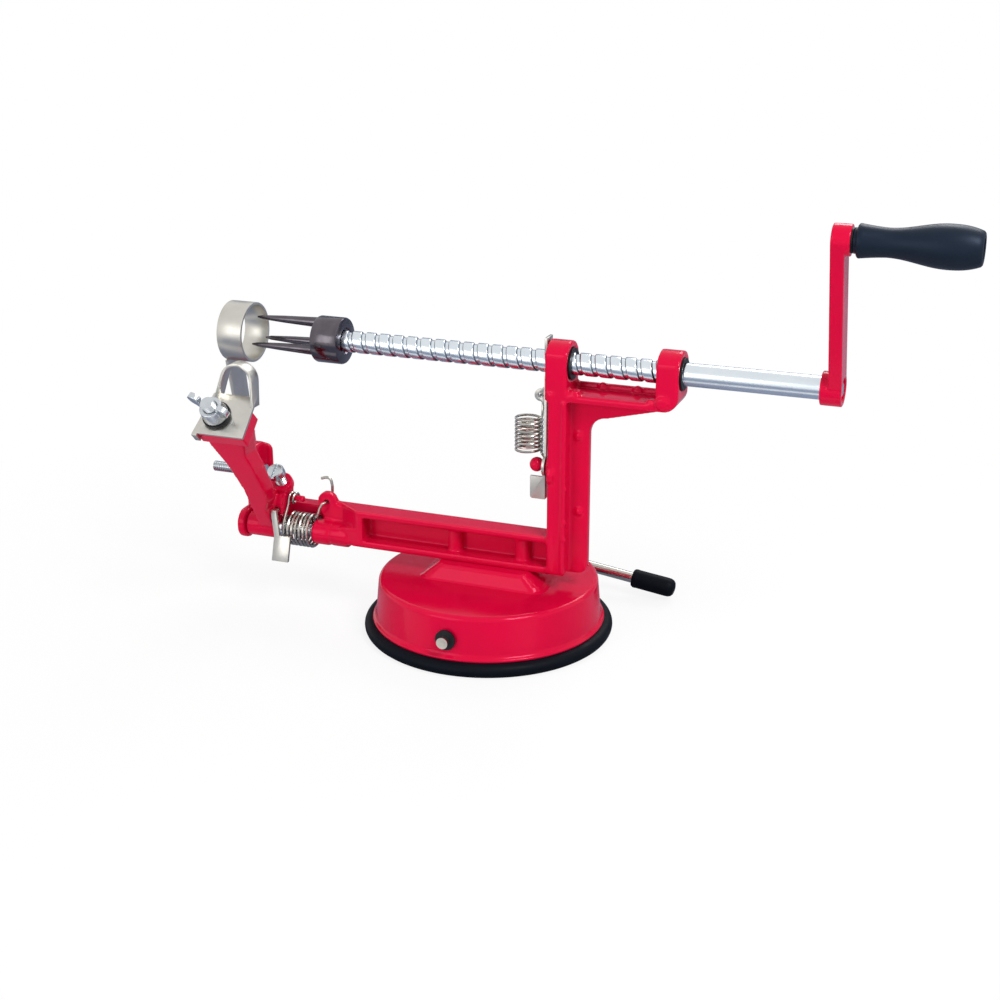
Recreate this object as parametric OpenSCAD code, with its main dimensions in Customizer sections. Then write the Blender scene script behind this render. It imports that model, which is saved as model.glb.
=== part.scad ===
// Hand-cranked apple peeler, corer and slicer on a suction base.
// Origin: centre of the suction pad's underside. +X runs along the feed shaft to the crank,
// +Y to the back, +Z up. Millimetres.

/* [Suction base] */
// Diameter of the housing at its top
housing_d = 81; // [78:0.5:90]
// Height of the housing from its flange to its top
housing_h = 16.1; // [15:0.1:22]
// How much wider the housing is at its flange than at its top, on the radius
housing_flare = 1.2; // [0.6:0.1:2]
// Width of the flange round the housing's foot
flange_w = 1.2; // [0.8:0.1:3]
// Thickness of the pressed sheet
sheet_t = 1; // [0.8:0.1:1.4]
// How far the pad shows outside the flange
pad_overhang = 3.1; // [2:0.1:6]
// Height of the pad's rim
pad_rim_h = 5; // [4.5:0.1:7]
// Thickness of the pad's middle
pad_t = 3; // [2:0.1:3.5]
// Height of the saddle pressed up under the beam
saddle_h = 5.9; // [4:0.1:9]
// Length of the saddle's top
saddle_len = 34.7; // [33:0.1:40]
// Width of the saddle's top
saddle_w = 20.4; // [16:0.1:26]
// How far the saddle's ends slope out
saddle_slope = 5; // [2:0.1:8]
// Where the saddle's middle sits along the beam
saddle_x = 1; // [-2:0.1:3]

/* [Suction lever] */
// Height of the lever's axle above the housing's flange
axle_h = 7.4; // [7:0.1:8.5]
// Diameter of the lever's rod
lever_rod_d = 4.2; // [3.6:0.1:4.8]
// Length of the lever from its axle to its tip
lever_len = 59; // [50:0.5:70]
// Slope of the lever at rest, in degrees
lever_drop = 7.6; // [4:0.1:8]
// Radius of the lever's bend
lever_bend = 5; // [4:0.1:8]
// Length of the rubber tip
tip_len = 17; // [12:0.5:22]
// Diameter of the rubber tip
tip_d = 7.4; // [6.6:0.1:8]
// Diameter of the cam on the axle
cam_d = 8; // [7.6:0.1:8.4]
// Throw of the cam
cam_throw = 1.75; // [1:0.05:1.8]
// Width of the cam
cam_w = 7; // [5:0.1:9]

/* [Frame] */
// Height of the shaft's axis above the saddle
shaft_rise = 77.1; // [72:0.1:90]
// Width of the bearing lugs and the column, front to back
lug_w = 13.7; // [13:0.1:16]
// Thickness of the bearing lugs
lug_t = 8; // [7:0.1:10]
// Radius of a lug's top
lug_r = 8; // [7.6:0.1:9]
// Gap between the two lugs
lug_gap = 31.3; // [26:0.1:36]
// Left face of the column
column_x = 24.7; // [22:0.1:28]
// Thickness of the column's flange
column_t = 6.7; // [5:0.1:7]
// Depth of the web behind the column
web_len = 6.9; // [5:0.1:10]
// Thickness of the web
web_t = 3.2; // [2.4:0.1:4]
// Thickness of the shelf between the lugs
shelf_t = 2.6; // [2:0.1:4]
// Depth of the shaft's axis above the shelf
shelf_drop = 9.7; // [9:0.1:11]
// Height of the beam
beam_h = 14.2; // [13:0.1:18]
// Depth of the beam, front to back
beam_d = 9; // [8:0.1:11]
// Wall of the beam
beam_wall = 2.6; // [2:0.1:3.2]
// Left end of the beam
beam_end = 61; // [59:0.5:70]
// Length of the slope at the beam's left end
beam_slope = 11; // [8:0.5:14]
// Diameter of the screws under the saddle
frame_screw_d = 3.5; // [3:0.1:4]

/* [Feed shaft] */
// Diameter of the shaft, five sixteenths of an inch
shaft_d = 7.94; // [7.5:0.02:8.5]
// Pitch of the feed thread
pitch = 5.4; // [5:0.1:6]
// Depth of the thread's groove
groove_depth = 0.6; // [0.5:0.05:0.8]
// Width of the thread's groove
groove_w = 2; // [1.8:0.1:2.4]
// Wall of the bushes
bush_wall = 1.5; // [1:0.1:2]
// Left end of the thread, at the fork
fork_x = 55.3; // [50:0.1:60]
// Length of the smooth shaft between the right lug and the crank
shaft_free = 46.5; // [44:0.5:60]
// Diameter of the fork's hub
fork_d = 17; // [15:0.5:18]
// Length of the fork's hub
fork_len = 10.7; // [8:0.1:14]
// Length of the fork's tines
tine_len = 25.5; // [20:0.5:26]

/* [Crank] */
// Distance from the shaft to the grip's axis
crank_len = 55; // [44:0.1:60]
// Turn of the crank at rest, in degrees towards the front
crank_rest = 18; // [0:1:30]
// Thickness of the crank's boss
crank_boss_t = 7.2; // [6:0.1:9]
// Thickness of the crank's arm
crank_t = 4.4; // [3.6:0.1:6]
// Width of the crank's arm
crank_w = 10; // [9:0.1:11]
// Height of the boss at the crank's upper end
crank_head_h = 1.6; // [1:0.1:2.4]
// Length of the grip
grip_len = 38.5; // [34:0.5:46]
// Largest diameter of the grip
grip_d = 13.9; // [12.5:0.1:18]
// Diameter of the grip's spindle
spindle_d = 4; // [3.4:0.1:4.4]

/* [Peeling arm] */
// Diameter of the arm's pivot pin
pin_d = 5; // [4.5:0.1:5.4]
// Distance of the pivot in front of the shaft
pivot_y = 2.2; // [1.8:0.1:2.6]
// Height of the pivot above the saddle
pivot_rise = 2.2; // [2:0.1:3]
// Diameter of the arm's hub
hub_d = 9.4; // [8.6:0.1:9.8]
// Length of the arm's hub
hub_len = 13.8; // [12.8:0.1:16]
// How far the blade's bolt stands in front of the pivot
reach_y = 36.8; // [34:0.1:40]
// How far the blade's bolt stands above the pivot
reach_z = 53.8; // [50:0.1:58]
// Slope of the blade's plate, in degrees
blade_slope = 45; // [40:1:50]
// Length of the blade's plate up its slope
plate_len = 16.5; // [15.5:0.1:18]
// Width of the blade's plate
plate_w = 20; // [19:0.1:22]
// Thickness of the blade's plate and hoop
blade_t = 1; // [0.8:0.1:1.2]
// Height of the cutting hoop
hoop_h = 13; // [11:0.5:18]
// Width of the cutting hoop
hoop_w = 15.8; // [14:0.1:17]
// Diameter of the blade's bolt
bolt_d = 5; // [4:0.1:5.4]
// Span of the wing nut
wing_span = 18; // [16:0.5:19]
// Diameter of the stop screw
stop_d = 4; // [3.5:0.1:4.4]
// Length of the stop screw under its head
stop_len = 14; // [13.5:0.1:14.5]

// Distance of the blade's bolt from the hub's left end
seat_offset = 10; // [9.6:0.1:10.4]
// Distance of the ear's face from the stop screw's tip
stop_face = 9.6; // [9.2:0.1:10.4]
// Width of the thumb plate
paddle_w = 6.7; // [6:0.1:8]
// Length of the thumb plate's paddle
paddle_len = 9.2; // [8:0.1:11]

/* [Slicer and corer] */
// Inner diameter of the coring ring
corer_d = 20.2; // [19:0.1:24]
// Length of the coring ring along the shaft
corer_len = 10; // [8:0.5:12]
// Thickness of the slicing blade
slicer_t = 1; // [0.8:0.1:1.2]
// Height of the post that holds the slicing blade, above the beam's foot
post_h = 31; // [28:0.5:36]

/* [Release plate] */
// Depth of the spring's stud below the shaft
stud_drop = 37.7; // [37:0.1:38.4]
// Height of the spring's coil above its stud
coil_rise = 4; // [3.8:0.1:4.4]
// Height of the plate's ear above the spring's coil
ear_rise = 8.2; // [7.8:0.1:8.6]

/* [Springs] */
// Wire of the arm's spring
arm_wire_d = 1.1; // [0.9:0.05:1.1]
// Turns of the arm's spring
arm_turns = 7; // [5:1:8]
// Length of the arm's spring
arm_spring_len = 11.9; // [11.9:0.1:13]
// Mean radius of the arm's spring
arm_spring_r = 6; // [5.7:0.1:6.2]
// Height of the arm spring's free end above its lug
tail_rise = 8; // [7:0.1:9]
// Wire of the release spring
release_wire_d = 0.9; // [0.7:0.05:1]
// Turns of the release spring
release_turns = 9; // [6:1:9]
// Length of the release spring's coil
release_coil_len = 13; // [12.4:0.1:13.6]
// Mean radius of the release spring
release_spring_r = 4.7; // [4:0.1:5]

/* [Fits] */
// Clearance on the radius of a turning or sliding fit
fit = 0.05; // [0.03:0.01:0.1]
// Gap between parts that move past each other
gap = 0.4; // [0.3:0.05:0.6]

/* [Hidden] */
$fn = 64;

// How far a cut runs past the face it goes through
over = 1;
// Clearance on the radius of a pressed or screwed fit
press = 0.01;
// Clearance on the radius of a plain bolt hole
hole_play = 0.1;

// Colours
enamel_red = "#c4122f";
plated_steel = "#c9ccd0";
nickel = "#b9b4aa";
dark_chrome = "#5b5a60";
black_rubber = "#1b1c1e";
black_plastic = "#232428";

// Base
housing_r = housing_d / 2;
flange_r = housing_r + housing_flare + flange_w;
pad_r = flange_r + pad_overhang;
housing_top = pad_rim_h + housing_h;
deck_z = housing_top + saddle_h;
axle_z = pad_rim_h + axle_h;
rod_r = lever_rod_d / 2;
shoulder_r = 2.4;
flange_t = 1.2;
screw_head_d = 5.8;
screw_head_h = 2;
screw_inset = 4.3;
screw_xs = [saddle_x - saddle_len / 2 + screw_inset, saddle_x + saddle_len / 2 - screw_inset];
stem_wall = 1.8;
stem_play = 0.4;
foot_t = 1.4;
foot_r = 11;

// Frame
shaft_z = deck_z + shaft_rise;
half_w = lug_w / 2;
lug1_x1 = column_x + column_t;
lug1_x0 = lug1_x1 - lug_t;
lug2_x0 = lug1_x1 + lug_gap;
lug2_x1 = lug2_x0 + lug_t;
shelf_z = shaft_z - shelf_drop;
beam_back = beam_d - half_w;
beam_top = deck_z + beam_h;
shaft_r = shaft_d / 2;
bush_r = shaft_r + fit + bush_wall;
crank_x = lug2_x1 + shaft_free;
crank_x1 = crank_x + crank_boss_t;
grip_z = shaft_z + crank_len;
grip_washer_t = 0.5;
crank_head_x = crank_x1 + crank_head_h;
grip_x0 = crank_head_x + grip_washer_t + gap / 2;
neck_len = 0.9;
neck_share = 0.58;
grip_recess = 5.4;
waist_at = 0.26;
belly_at = 0.74;
waist_share = 0.655;
end_share = 0.745;
collar_gain = 0.56;
spigot_r = 3;
fork_face = 1;

// Left end, from the beam outward
pin_r = pin_d / 2;
pivot_z = deck_z + pivot_rise;
lug_x = -beam_end - 4.1;
boss_x = -beam_end - 0.6;
boss_r = 4.5;
groove_x = boss_x - 1.2;
collar_r = 4.7;
collar_x = groove_x - 6.7;
spring_x1 = collar_x + 0.9;
spring_x0 = spring_x1 - arm_spring_len;
arm_washer_t = 1.7;
arm_washer_x0 = spring_x0 - gap - arm_washer_t;
hub_x1 = arm_washer_x0 - gap;
hub_x0 = hub_x1 - hub_len;
bracket_t = 3;
bracket_x1 = hub_x0 - gap;
bracket_x0 = bracket_x1 - bracket_t;
hub_r = hub_d / 2;
bar_y = arm_spring_r + arm_wire_d / 2 - pivot_y + gap;
bar_d = 5.6;
bar_h = 12;
bar_z = deck_z - 2;
post_x0 = bracket_x0 - 1.1;
post_t = 4;
post_y0 = hub_r - pivot_y + 0.5;
post_y1 = bar_y + bar_d + 2.4;
post_top = deck_z + post_h;
lug_hole_r = 1;
spring_lug_r = 3.8;
spring_lug_z = beam_top - 0.2;
slicer_bolt_d = 4;
post_rib = 1.8;
slicer_bolt_y = post_y0 + 4.4;
slicer_bolt_z = post_top - 11.4;

// Release plate and its stud
plate_t = 1;
plate_x1 = lug1_x0 - gap;
plate_x0 = plate_x1 - plate_t;
stud_y = -1.5;
stud_z = shaft_z - stud_drop;
stud_r = 1.6;
stud_head_r = 2.7;
stud_gap = 1.5;
release_travel = 1.2;
tooth_depth = 0.42;
tooth_w = 1.4;
release_axis_x = column_x - 9.2;
release_z0 = stud_z + coil_rise;
release_z1 = release_z0 + release_coil_len;
ear_z = release_z1 + ear_rise;
ear_x = release_axis_x + release_spring_r - 0.4;

// Peeling arm: the blade's seat has its own frame, local z out of the plate
seat_x = hub_x0 + seat_offset;
seat = [seat_x, -pivot_y - reach_y, pivot_z + reach_z];
seat_x0 = -6.5;
seat_x1 = seat_x0 + plate_w - 1.5;
seat_t = 6;
plate_y0 = -7.5;
plate_y1 = plate_y0 + plate_len;
washer_t = 1.2;
hoop_d = 5;
hoop_foot = 2.6;
bolt_head_rim = 1.9;
stop_tilt = 38;
stop_head_d = 6.6;
stop_head_h = 3.2;
ear_x0 = hub_x1 - 3.2;
ear_x1 = hub_x1 + 2.2;
ear_low = pivot_z + arm_spring_r + arm_wire_d / 2 + 0.6;
ear_front = -pivot_y - arm_spring_r + arm_wire_d / 2 + 0.25;
stop_x = hub_x1 - 0.2;
stop_tip_y = 3.65;
stop_tip_z = bar_z + bar_h + 2.95;
arm_root_x1 = hub_x1 - 1.2;
thumb_t = 1.2;
tongue_x0 = ear_x1 - 3.1;
tongue_w = 2.2;
tongue_z = ear_low + 1;
tongue_y = ear_front + 3;
peg_r = 1.2;
peg_y = -1;
peg_z = pivot_z + 11.8;
peg_len = 6.5;

// Suction lever
axle_front = flange_r + 2.4;
axle_back = flange_r - flange_w + 1;
clip_y = housing_r + housing_flare;
clip_t = 0.8;
clip_groove = 0.4;
tip_socket = 6;

// The torsion spring's route: turns round the arm's peg, moving leg, turns round the pin, then the leg
// through the frame's lug.
wrap_r = peg_r + arm_wire_d / 2 + hole_play;
wrap_pitch = arm_wire_d + 0.55;
leg_x = spring_x0 + arm_wire_d / 2;
leg_y = -pivot_y - arm_spring_r;
arm_wrap = [for (a = [-360 : 45 : 180])
  [leg_x + wrap_pitch * (180 - a) / 360, peg_y + wrap_r * cos(a), peg_z + wrap_r * sin(a)]];
arm_rise = arm_spring_len - arm_wire_d;
arm_steps = arm_turns * 8 - 2;
arm_coil = [for (k = [0 : arm_steps]) let (a = 180 + 45 * k)
  [spring_x0 + arm_wire_d / 2 + arm_rise * k / arm_steps, -pivot_y + arm_spring_r * cos(a),
    pivot_z + arm_spring_r * sin(a)]];
arm_path = concat(
  arm_wrap,
  [[leg_x, peg_y - wrap_r - 0.7, peg_z - 2], [leg_x, leg_y + 0.8, pivot_z + 4.8],
    [leg_x, leg_y, pivot_z + 3]],
  arm_coil,
  [[spring_x1 + 1.6, -pivot_y - 3.2, pivot_z + arm_spring_r + 1.2],
    [lug_x - 0.8, -3.4, spring_lug_z - 0.4], [lug_x, -2.4, spring_lug_z],
    [lug_x, 0, spring_lug_z], [lug_x, 3, spring_lug_z], [lug_x, 3.9, spring_lug_z + 1.2],
    [lug_x, 3.9, spring_lug_z + tail_rise - 1.6], [lug_x - 0.6, 3.9, spring_lug_z + tail_rise - 0.4],
    [lug_x - 1.8, 3.9, spring_lug_z + tail_rise], [lug_x - 4.2, 3.9, spring_lug_z + tail_rise - 0.6]]);

// The release spring's route: hook under the stud, turns, then the hook through the plate's ear.
stud_wire_x = plate_x0 - stud_gap / 2;
release_coil = [for (k = [0 : release_turns * 8]) let (a = 45 * k)
  [release_axis_x + release_spring_r * cos(a), release_spring_r * sin(a),
    release_z0 + (release_z1 - release_z0) * k / (release_turns * 8)]];
release_path = concat(
  [[stud_wire_x, stud_y - 2.4, stud_z - 2.2], [stud_wire_x, stud_y - 1, stud_z - 2.5],
    [stud_wire_x, stud_y + 1.2, stud_z - 2.3], [stud_wire_x, stud_y + 2.5, stud_z - 0.6],
    [stud_wire_x, stud_y + 2.6, stud_z + 1.6], [stud_wire_x - 0.6, stud_y + 1.4, stud_z + 3.4]],
  release_coil,
  [[ear_x, 1.9, release_z1 + 1.8], [ear_x, 2.4, ear_z - 1.6], [ear_x, 1.6, ear_z],
    [ear_x, 0, ear_z], [ear_x, -1.9, ear_z]]);

function unit(v) = v / norm(v);
function tangent(p, i) = unit(p[min(i + 1, len(p) - 1)] - p[max(i - 1, 0)]);
function turned(n, t) = unit(n - (n * t) * t);
function normals(p, n0) = [for (i = 0, n = turned(n0, tangent(p, 0)); i < len(p);
  i = i + 1, n = i < len(p) ? turned(n, tangent(p, i)) : n) n];

// One closed tube along a path; n0 starts its section.
module tube(path, r, n0, sides = 6) {
  n = normals(path, n0);
  rings = len(path);
  points = [for (i = [0 : rings - 1], k = [0 : sides - 1])
    let (t = tangent(path, i), b = cross(t, n[i]), a = 360 * k / sides)
    path[i] + r * (cos(a) * n[i] + sin(a) * b)];
  walls = [for (i = [0 : rings - 2], k = [0 : sides - 1])
    let (a = i * sides + k, b = i * sides + (k + 1) % sides)
    each [[a, a + sides, b], [b, a + sides, b + sides]]];
  last = (rings - 1) * sides;
  caps = [for (k = [1 : sides - 2]) each [[0, k, k + 1], [last, last + k + 1, last + k]]];
  polyhedron(points, concat(walls, caps));
}

// Least gap between the wire's turns, over points at least most of a turn apart.
function least_gap(p, wire, apart) = min([for (i = [0 : len(p) - 1], j = [i + apart : 1 : len(p) - 1])
  norm(p[i] - p[j])]) - wire;

// Lies a flat shape in the YZ plane and gives it a thickness from x0 to x1.
module along_x(x0, x1) {
  translate([x0, 0, 0]) rotate([90, 0, 90]) linear_extrude(x1 - x0) children();
}

// Lies a flat XZ shape at y0 and gives it a thickness to y1.
module along_y(y0, y1) {
  translate([0, y1, 0]) rotate([90, 0, 0]) linear_extrude(y1 - y0) children();
}

module rod_x(x0, x1, y, z, r) {
  translate([x0, y, z]) rotate([0, 90, 0]) cylinder(h = x1 - x0, r = r);
}

module block(x0, x1, y0, y1, z0, z1) {
  translate([x0, y0, z0]) cube([x1 - x0, y1 - y0, z1 - z0]);
}

// A plate outline with its two top corners rounded.
module round_top(a0, a1, b0, b1, r) {
  translate([a0, b0]) square([a1 - a0, b1 - b0 - r]);
  translate([a0 + r, b0]) square([a1 - a0 - 2 * r, b1 - b0]);
  for (a = [a0 + r, a1 - r]) translate([a, b1 - r]) circle(r);
}

// A plate outline with its two lower corners rounded.
module round_foot(a0, a1, b0, b1, r) {
  translate([a0, b0 + r]) square([a1 - a0, b1 - b0 - r]);
  translate([a0 + r, b0]) square([a1 - a0 - 2 * r, b1 - b0]);
  for (a = [a0 + r, a1 - r]) translate([a, b0 + r]) circle(r);
}

module saddle_block(inset) {
  half = saddle_len / 2 - inset;
  side = saddle_w / 2 - inset;
  side_slope = 1.8;
  top = deck_z - inset;
  low = housing_top - 2 * inset;
  intersection() {
    along_y(-saddle_w, saddle_w) translate([saddle_x, 0])
      polygon([[-half - saddle_slope, low], [half + saddle_slope, low], [half, top], [-half, top]]);
    along_x(-saddle_len, saddle_len)
      polygon([[-side - side_slope, low], [side + side_slope, low], [side, top], [-side, top]]);
  }
}

module base_housing() {
  foot_out = housing_r + housing_flare;
  color(enamel_red) difference() {
    union() {
      rotate_extrude($fn = 128) {
        polygon([[0, housing_top - sheet_t], [housing_r - shoulder_r, housing_top - sheet_t],
          [housing_r - shoulder_r, housing_top], [0, housing_top]]);
        difference() {
          translate([housing_r - shoulder_r, housing_top - shoulder_r]) circle(shoulder_r);
          translate([housing_r - shoulder_r, housing_top - shoulder_r]) circle(shoulder_r - sheet_t);
          translate([0, housing_top - 2 * shoulder_r]) square([housing_r - shoulder_r, 2 * shoulder_r]);
          translate([0, housing_top - 2 * shoulder_r]) square([housing_r, shoulder_r]);
        }
        polygon([[housing_r - sheet_t, housing_top - shoulder_r], [housing_r, housing_top - shoulder_r],
          [foot_out, pad_rim_h + flange_t], [flange_r, pad_rim_h + flange_t], [flange_r, pad_rim_h],
          [foot_out - sheet_t, pad_rim_h]]);
      }
      saddle_block(0);
    }
    saddle_block(sheet_t);
    translate([0, pad_r, axle_z]) rotate([90, 0, 0]) cylinder(h = 2 * pad_r, r = rod_r + fit);
    for (x = screw_xs) translate([x, 0, deck_z - 2 * sheet_t])
      cylinder(h = 3 * sheet_t, r = frame_screw_d / 2 + fit);
  }
}

module suction_pad() {
  lip = 1.5;
  step = 1;
  seat_r = flange_r - flange_w - sheet_t - step;
  color(black_rubber) rotate_extrude($fn = 128)
    polygon([[0, 0], [pad_r - lip, 0], [pad_r, lip], [pad_r, pad_rim_h - lip], [pad_r - lip, pad_rim_h],
      [seat_r, pad_rim_h], [seat_r - step, pad_t], [0, pad_t]]);
}

module bearing_lug(x0) {
  along_x(x0, x0 + lug_t) {
    intersection() {
      translate([0, shaft_z]) circle(lug_r);
      translate([-half_w, shaft_z - lug_r]) square([lug_w, 2 * lug_r]);
    }
    translate([-half_w, shelf_z - shelf_t]) square([lug_w, shelf_drop + shelf_t]);
  }
}

// Channel beam, open to the front, with the round ribs that take the screws and the sloping left end.
module beam() {
  rib_r = 2.8;
  rib_inset = 2;
  nose_len = 2.2;
  nose_back = 0.8;
  flare_len = 7.6;
  flare_h = pivot_rise + boss_r;
  rib_y = rib_inset + rib_r - half_w;
  beam_x0 = -beam_end + beam_slope;
  block(beam_x0, lug1_x1, beam_back - beam_wall, beam_back, deck_z, beam_top);
  block(beam_x0, lug1_x1, -half_w, beam_back, beam_top - beam_wall, beam_top);
  block(beam_x0, lug1_x1, -half_w, beam_back, deck_z, deck_z + beam_wall);
  translate([0, 0, deck_z]) linear_extrude(beam_h) for (x = screw_xs) {
    translate([x, rib_y]) circle(rib_r);
    translate([x - rib_r, rib_y]) square([2 * rib_r, beam_back - rib_y]);
  }
  // nose, cut away towards the pin, with a flare round the pin's boss
  translate([0, 0, deck_z]) {
    linear_extrude(beam_h) polygon([[beam_x0 + nose_len, -half_w], [beam_x0, -half_w],
      [-beam_end, nose_back], [-beam_end, beam_back], [beam_x0 + nose_len, beam_back]]);
    linear_extrude(flare_h) polygon([[beam_x0 + 1, -half_w], [beam_x0, -half_w],
      [beam_x0 - flare_len, 1 - pivot_y - boss_r], [beam_x0 - flare_len, beam_back],
      [beam_x0 + 1, beam_back]]);
  }
}

// Column, web, shelf and the two bearing lugs.
module column() {
  sink = 1;
  web_fillet = 6;
  web_x1 = lug1_x1 + web_len;
  web_low = shelf_z - shelf_t - web_fillet;
  back_rib = 2;
  block(column_x, lug1_x1, -half_w, half_w, deck_z, shelf_z);
  along_y(-web_t / 2, web_t / 2) difference() {
    polygon([[lug1_x1 - sink, deck_z], [web_x1, deck_z], [web_x1, web_low - web_fillet],
      [web_x1 + web_fillet, web_low], [lug2_x0 + 2 * sink, shelf_z - shelf_t - sink],
      [lug2_x0 + 2 * sink, shelf_z - sink], [lug1_x1 - sink, shelf_z - sink]]);
    translate([web_x1 + web_fillet, web_low - web_fillet]) circle(web_fillet);
  }
  block(lug1_x1 - sink, lug2_x0 + sink, -half_w, half_w, shelf_z - shelf_t, shelf_z);
  block(lug1_x1 - sink, lug2_x0 + sink, half_w - back_rib, half_w, shelf_z - shelf_t, shelf_z + back_rib);
  bearing_lug(lug1_x0);
  bearing_lug(lug2_x0);
}

// Stud that the release plate slides on, with its domed head.
module release_stud() {
  sink = 1;
  base_r = 4;
  dome_rise = 1.4;
  head_x = plate_x0 - stud_gap;
  rod_x(plate_x1 + gap, column_x + sink, stud_y, stud_z, base_r);
  rod_x(head_x, column_x + sink, stud_y, stud_z, stud_r);
  translate([head_x, stud_y, stud_z]) rotate([0, -90, 0]) rotate_extrude() intersection() {
    translate([0, dome_rise]) circle(stud_head_r);
    square([stud_head_r, 2 * stud_head_r]);
  }
}

// Everything left of the beam: pin boss and collar, spring lug, bar, bracket and blade post.
module left_end() {
  lug_y1 = 2;
  lug_y0 = lug_y1 - 3;
  neck_step = 0.4;
  boss_sink = 6;
  gusset_low = deck_z + 3;
  gusset_top = beam_top - 6;
  bracket_r = pin_r + 3.3;
  bracket_low = 4.2;
  bracket_h = 10;
  post_round = 3;
  rib_len = 3.2;
  beam_x0 = -beam_end + beam_slope;
  rod_x(boss_x, boss_sink - beam_end, -pivot_y, pivot_z, boss_r);
  rod_x(collar_x, -beam_end, -pivot_y, pivot_z, boss_r - neck_step);
  rod_x(collar_x, groove_x, -pivot_y, pivot_z, collar_r);
  along_y(lug_y0, lug_y1) {
    translate([lug_x, spring_lug_z]) circle(spring_lug_r);
    polygon([[lug_x - spring_lug_r, spring_lug_z], [lug_x + spring_lug_r, spring_lug_z],
      [beam_x0, gusset_top], [beam_x0, gusset_low], [lug_x, gusset_low]]);
  }
  block(post_x0, beam_x0, bar_y, bar_y + bar_d, bar_z, bar_z + bar_h);
  block(lug_x - over, beam_x0, lug_y0, bar_y + bar_d, deck_z, bar_z + bar_h);
  along_x(bracket_x0, bracket_x1) {
    translate([-pivot_y, pivot_z]) circle(bracket_r);
    translate([-pivot_y, pivot_z - bracket_low]) square([bar_y + bar_d + pivot_y, bracket_h]);
  }
  along_x(post_x0, post_x0 + post_t) round_top(post_y0, post_y1, bar_z, post_top, post_round);
  along_y(post_y1 - post_rib, post_y1)
    round_top(post_x0, post_x0 + post_t + rib_len, bar_z, post_top - 1, post_round);
}

module frame_casting() {
  pin_depth = 4;
  screw_depth = 8;
  corner_r = 5.6;
  corner_low = shelf_z - shelf_t - 0.1;
  color(enamel_red) difference() {
    union() {
      beam();
      column();
      release_stud();
      left_end();
    }
    rod_x(lug1_x0 - over, lug2_x1 + over, 0, shaft_z, bush_r + fit);
    rod_x(bracket_x0 - over, pin_depth - beam_end, -pivot_y, pivot_z, pin_r + press);
    for (x = screw_xs) translate([x, 0, deck_z - over])
      cylinder(h = screw_depth + over, r = frame_screw_d / 2 + press);
    translate([lug_x, half_w, spring_lug_z]) rotate([90, 0, 0]) cylinder(h = lug_w, r = lug_hole_r);
    rod_x(post_x0 - over, post_x0 + post_t + over, slicer_bolt_y, slicer_bolt_z,
      slicer_bolt_d / 2 + hole_play);
    // round corner under the right lug
    along_y(-lug_w, lug_w) difference() {
      translate([lug2_x1 - corner_r, corner_low]) square([corner_r + over, corner_r]);
      translate([lug2_x1 - corner_r + 0.1, corner_low + corner_r]) circle(corner_r);
    }
  }
}

module frame_screws() {
  shank = 8;
  drive_r = 1.3;
  drive_depth = 0.9;
  color(plated_steel) for (x = screw_xs) translate([x, 0, deck_z - sheet_t]) {
    cylinder(h = shank, r = frame_screw_d / 2);
    translate([0, 0, -screw_head_h]) difference() {
      cylinder(h = screw_head_h, r = screw_head_d / 2);
      translate([0, 0, drive_depth - over]) cylinder(h = over, r = drive_r, $fn = 4);
    }
  }
}

module arm_pivot_pin() {
  proud = 0.6;
  depth = 3;
  color(plated_steel) rod_x(bracket_x0 - proud, depth - beam_end, -pivot_y, pivot_z, pin_r);
}

module arm_washer() {
  color(plated_steel) difference() {
    rod_x(arm_washer_x0, arm_washer_x0 + arm_washer_t, -pivot_y, pivot_z, hub_r);
    rod_x(arm_washer_x0 - over, arm_washer_x0 + arm_washer_t + over, -pivot_y, pivot_z, pin_r + fit);
  }
}

module slicer_blade() {
  ring_r = corer_d / 2 + slicer_t;
  blade_x0 = post_x0 - slicer_t;
  foot_z = slicer_bolt_z - 6.5;
  neck = 6;
  neck_z = shaft_z - corer_d / 2;
  color(nickel) difference() {
    union() {
      along_x(blade_x0, post_x0)
        polygon([[post_y0, foot_z], [post_y1, foot_z], [post_y1, post_top - 3], [neck, neck_z],
          [-neck, neck_z], [post_y0 - 1, post_top + 2]]);
      rod_x(blade_x0, blade_x0 + corer_len, 0, shaft_z, ring_r);
    }
    rod_x(blade_x0 - over, blade_x0 + corer_len + over, 0, shaft_z, corer_d / 2);
    rod_x(blade_x0 - over, post_x0 + over, slicer_bolt_y, slicer_bolt_z, slicer_bolt_d / 2 + hole_play);
  }
}

module slicer_bolt() {
  head_h = 2.6;
  head_r = 3.2;
  shank = 16;
  slot = 1;
  head_x0 = post_x0 + post_t;
  head_x1 = head_x0 + head_h;
  color(plated_steel) {
    rod_x(post_x0 - shank, head_x0 + head_h / 2, slicer_bolt_y, slicer_bolt_z, slicer_bolt_d / 2);
    difference() {
      rod_x(head_x0, head_x1, slicer_bolt_y, slicer_bolt_z, head_r);
      block(head_x1 - slot, head_x1 + over, slicer_bolt_y - slot / 2, slicer_bolt_y + slot / 2,
        slicer_bolt_z - head_r - over, slicer_bolt_z + head_r + over);
    }
  }
}

module slicer_nut() {
  nut_r = 3.9;
  nut_t = 3.2;
  nut_x0 = post_x0 - slicer_t - nut_t;
  color(plated_steel) difference() {
    translate([nut_x0, slicer_bolt_y, slicer_bolt_z]) rotate([0, 90, 0])
      cylinder(h = nut_t, r = nut_r, $fn = 6);
    rod_x(nut_x0 - over, nut_x0 + nut_t + over, slicer_bolt_y, slicer_bolt_z, slicer_bolt_d / 2 + press);
  }
}

module arm_spring() {
  echo(arm_spring_least_gap = least_gap(concat(arm_wrap, arm_coil), arm_wire_d, 6));
  color(plated_steel) tube(arm_path, arm_wire_d / 2, [1, 0, 0]);
}

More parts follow.
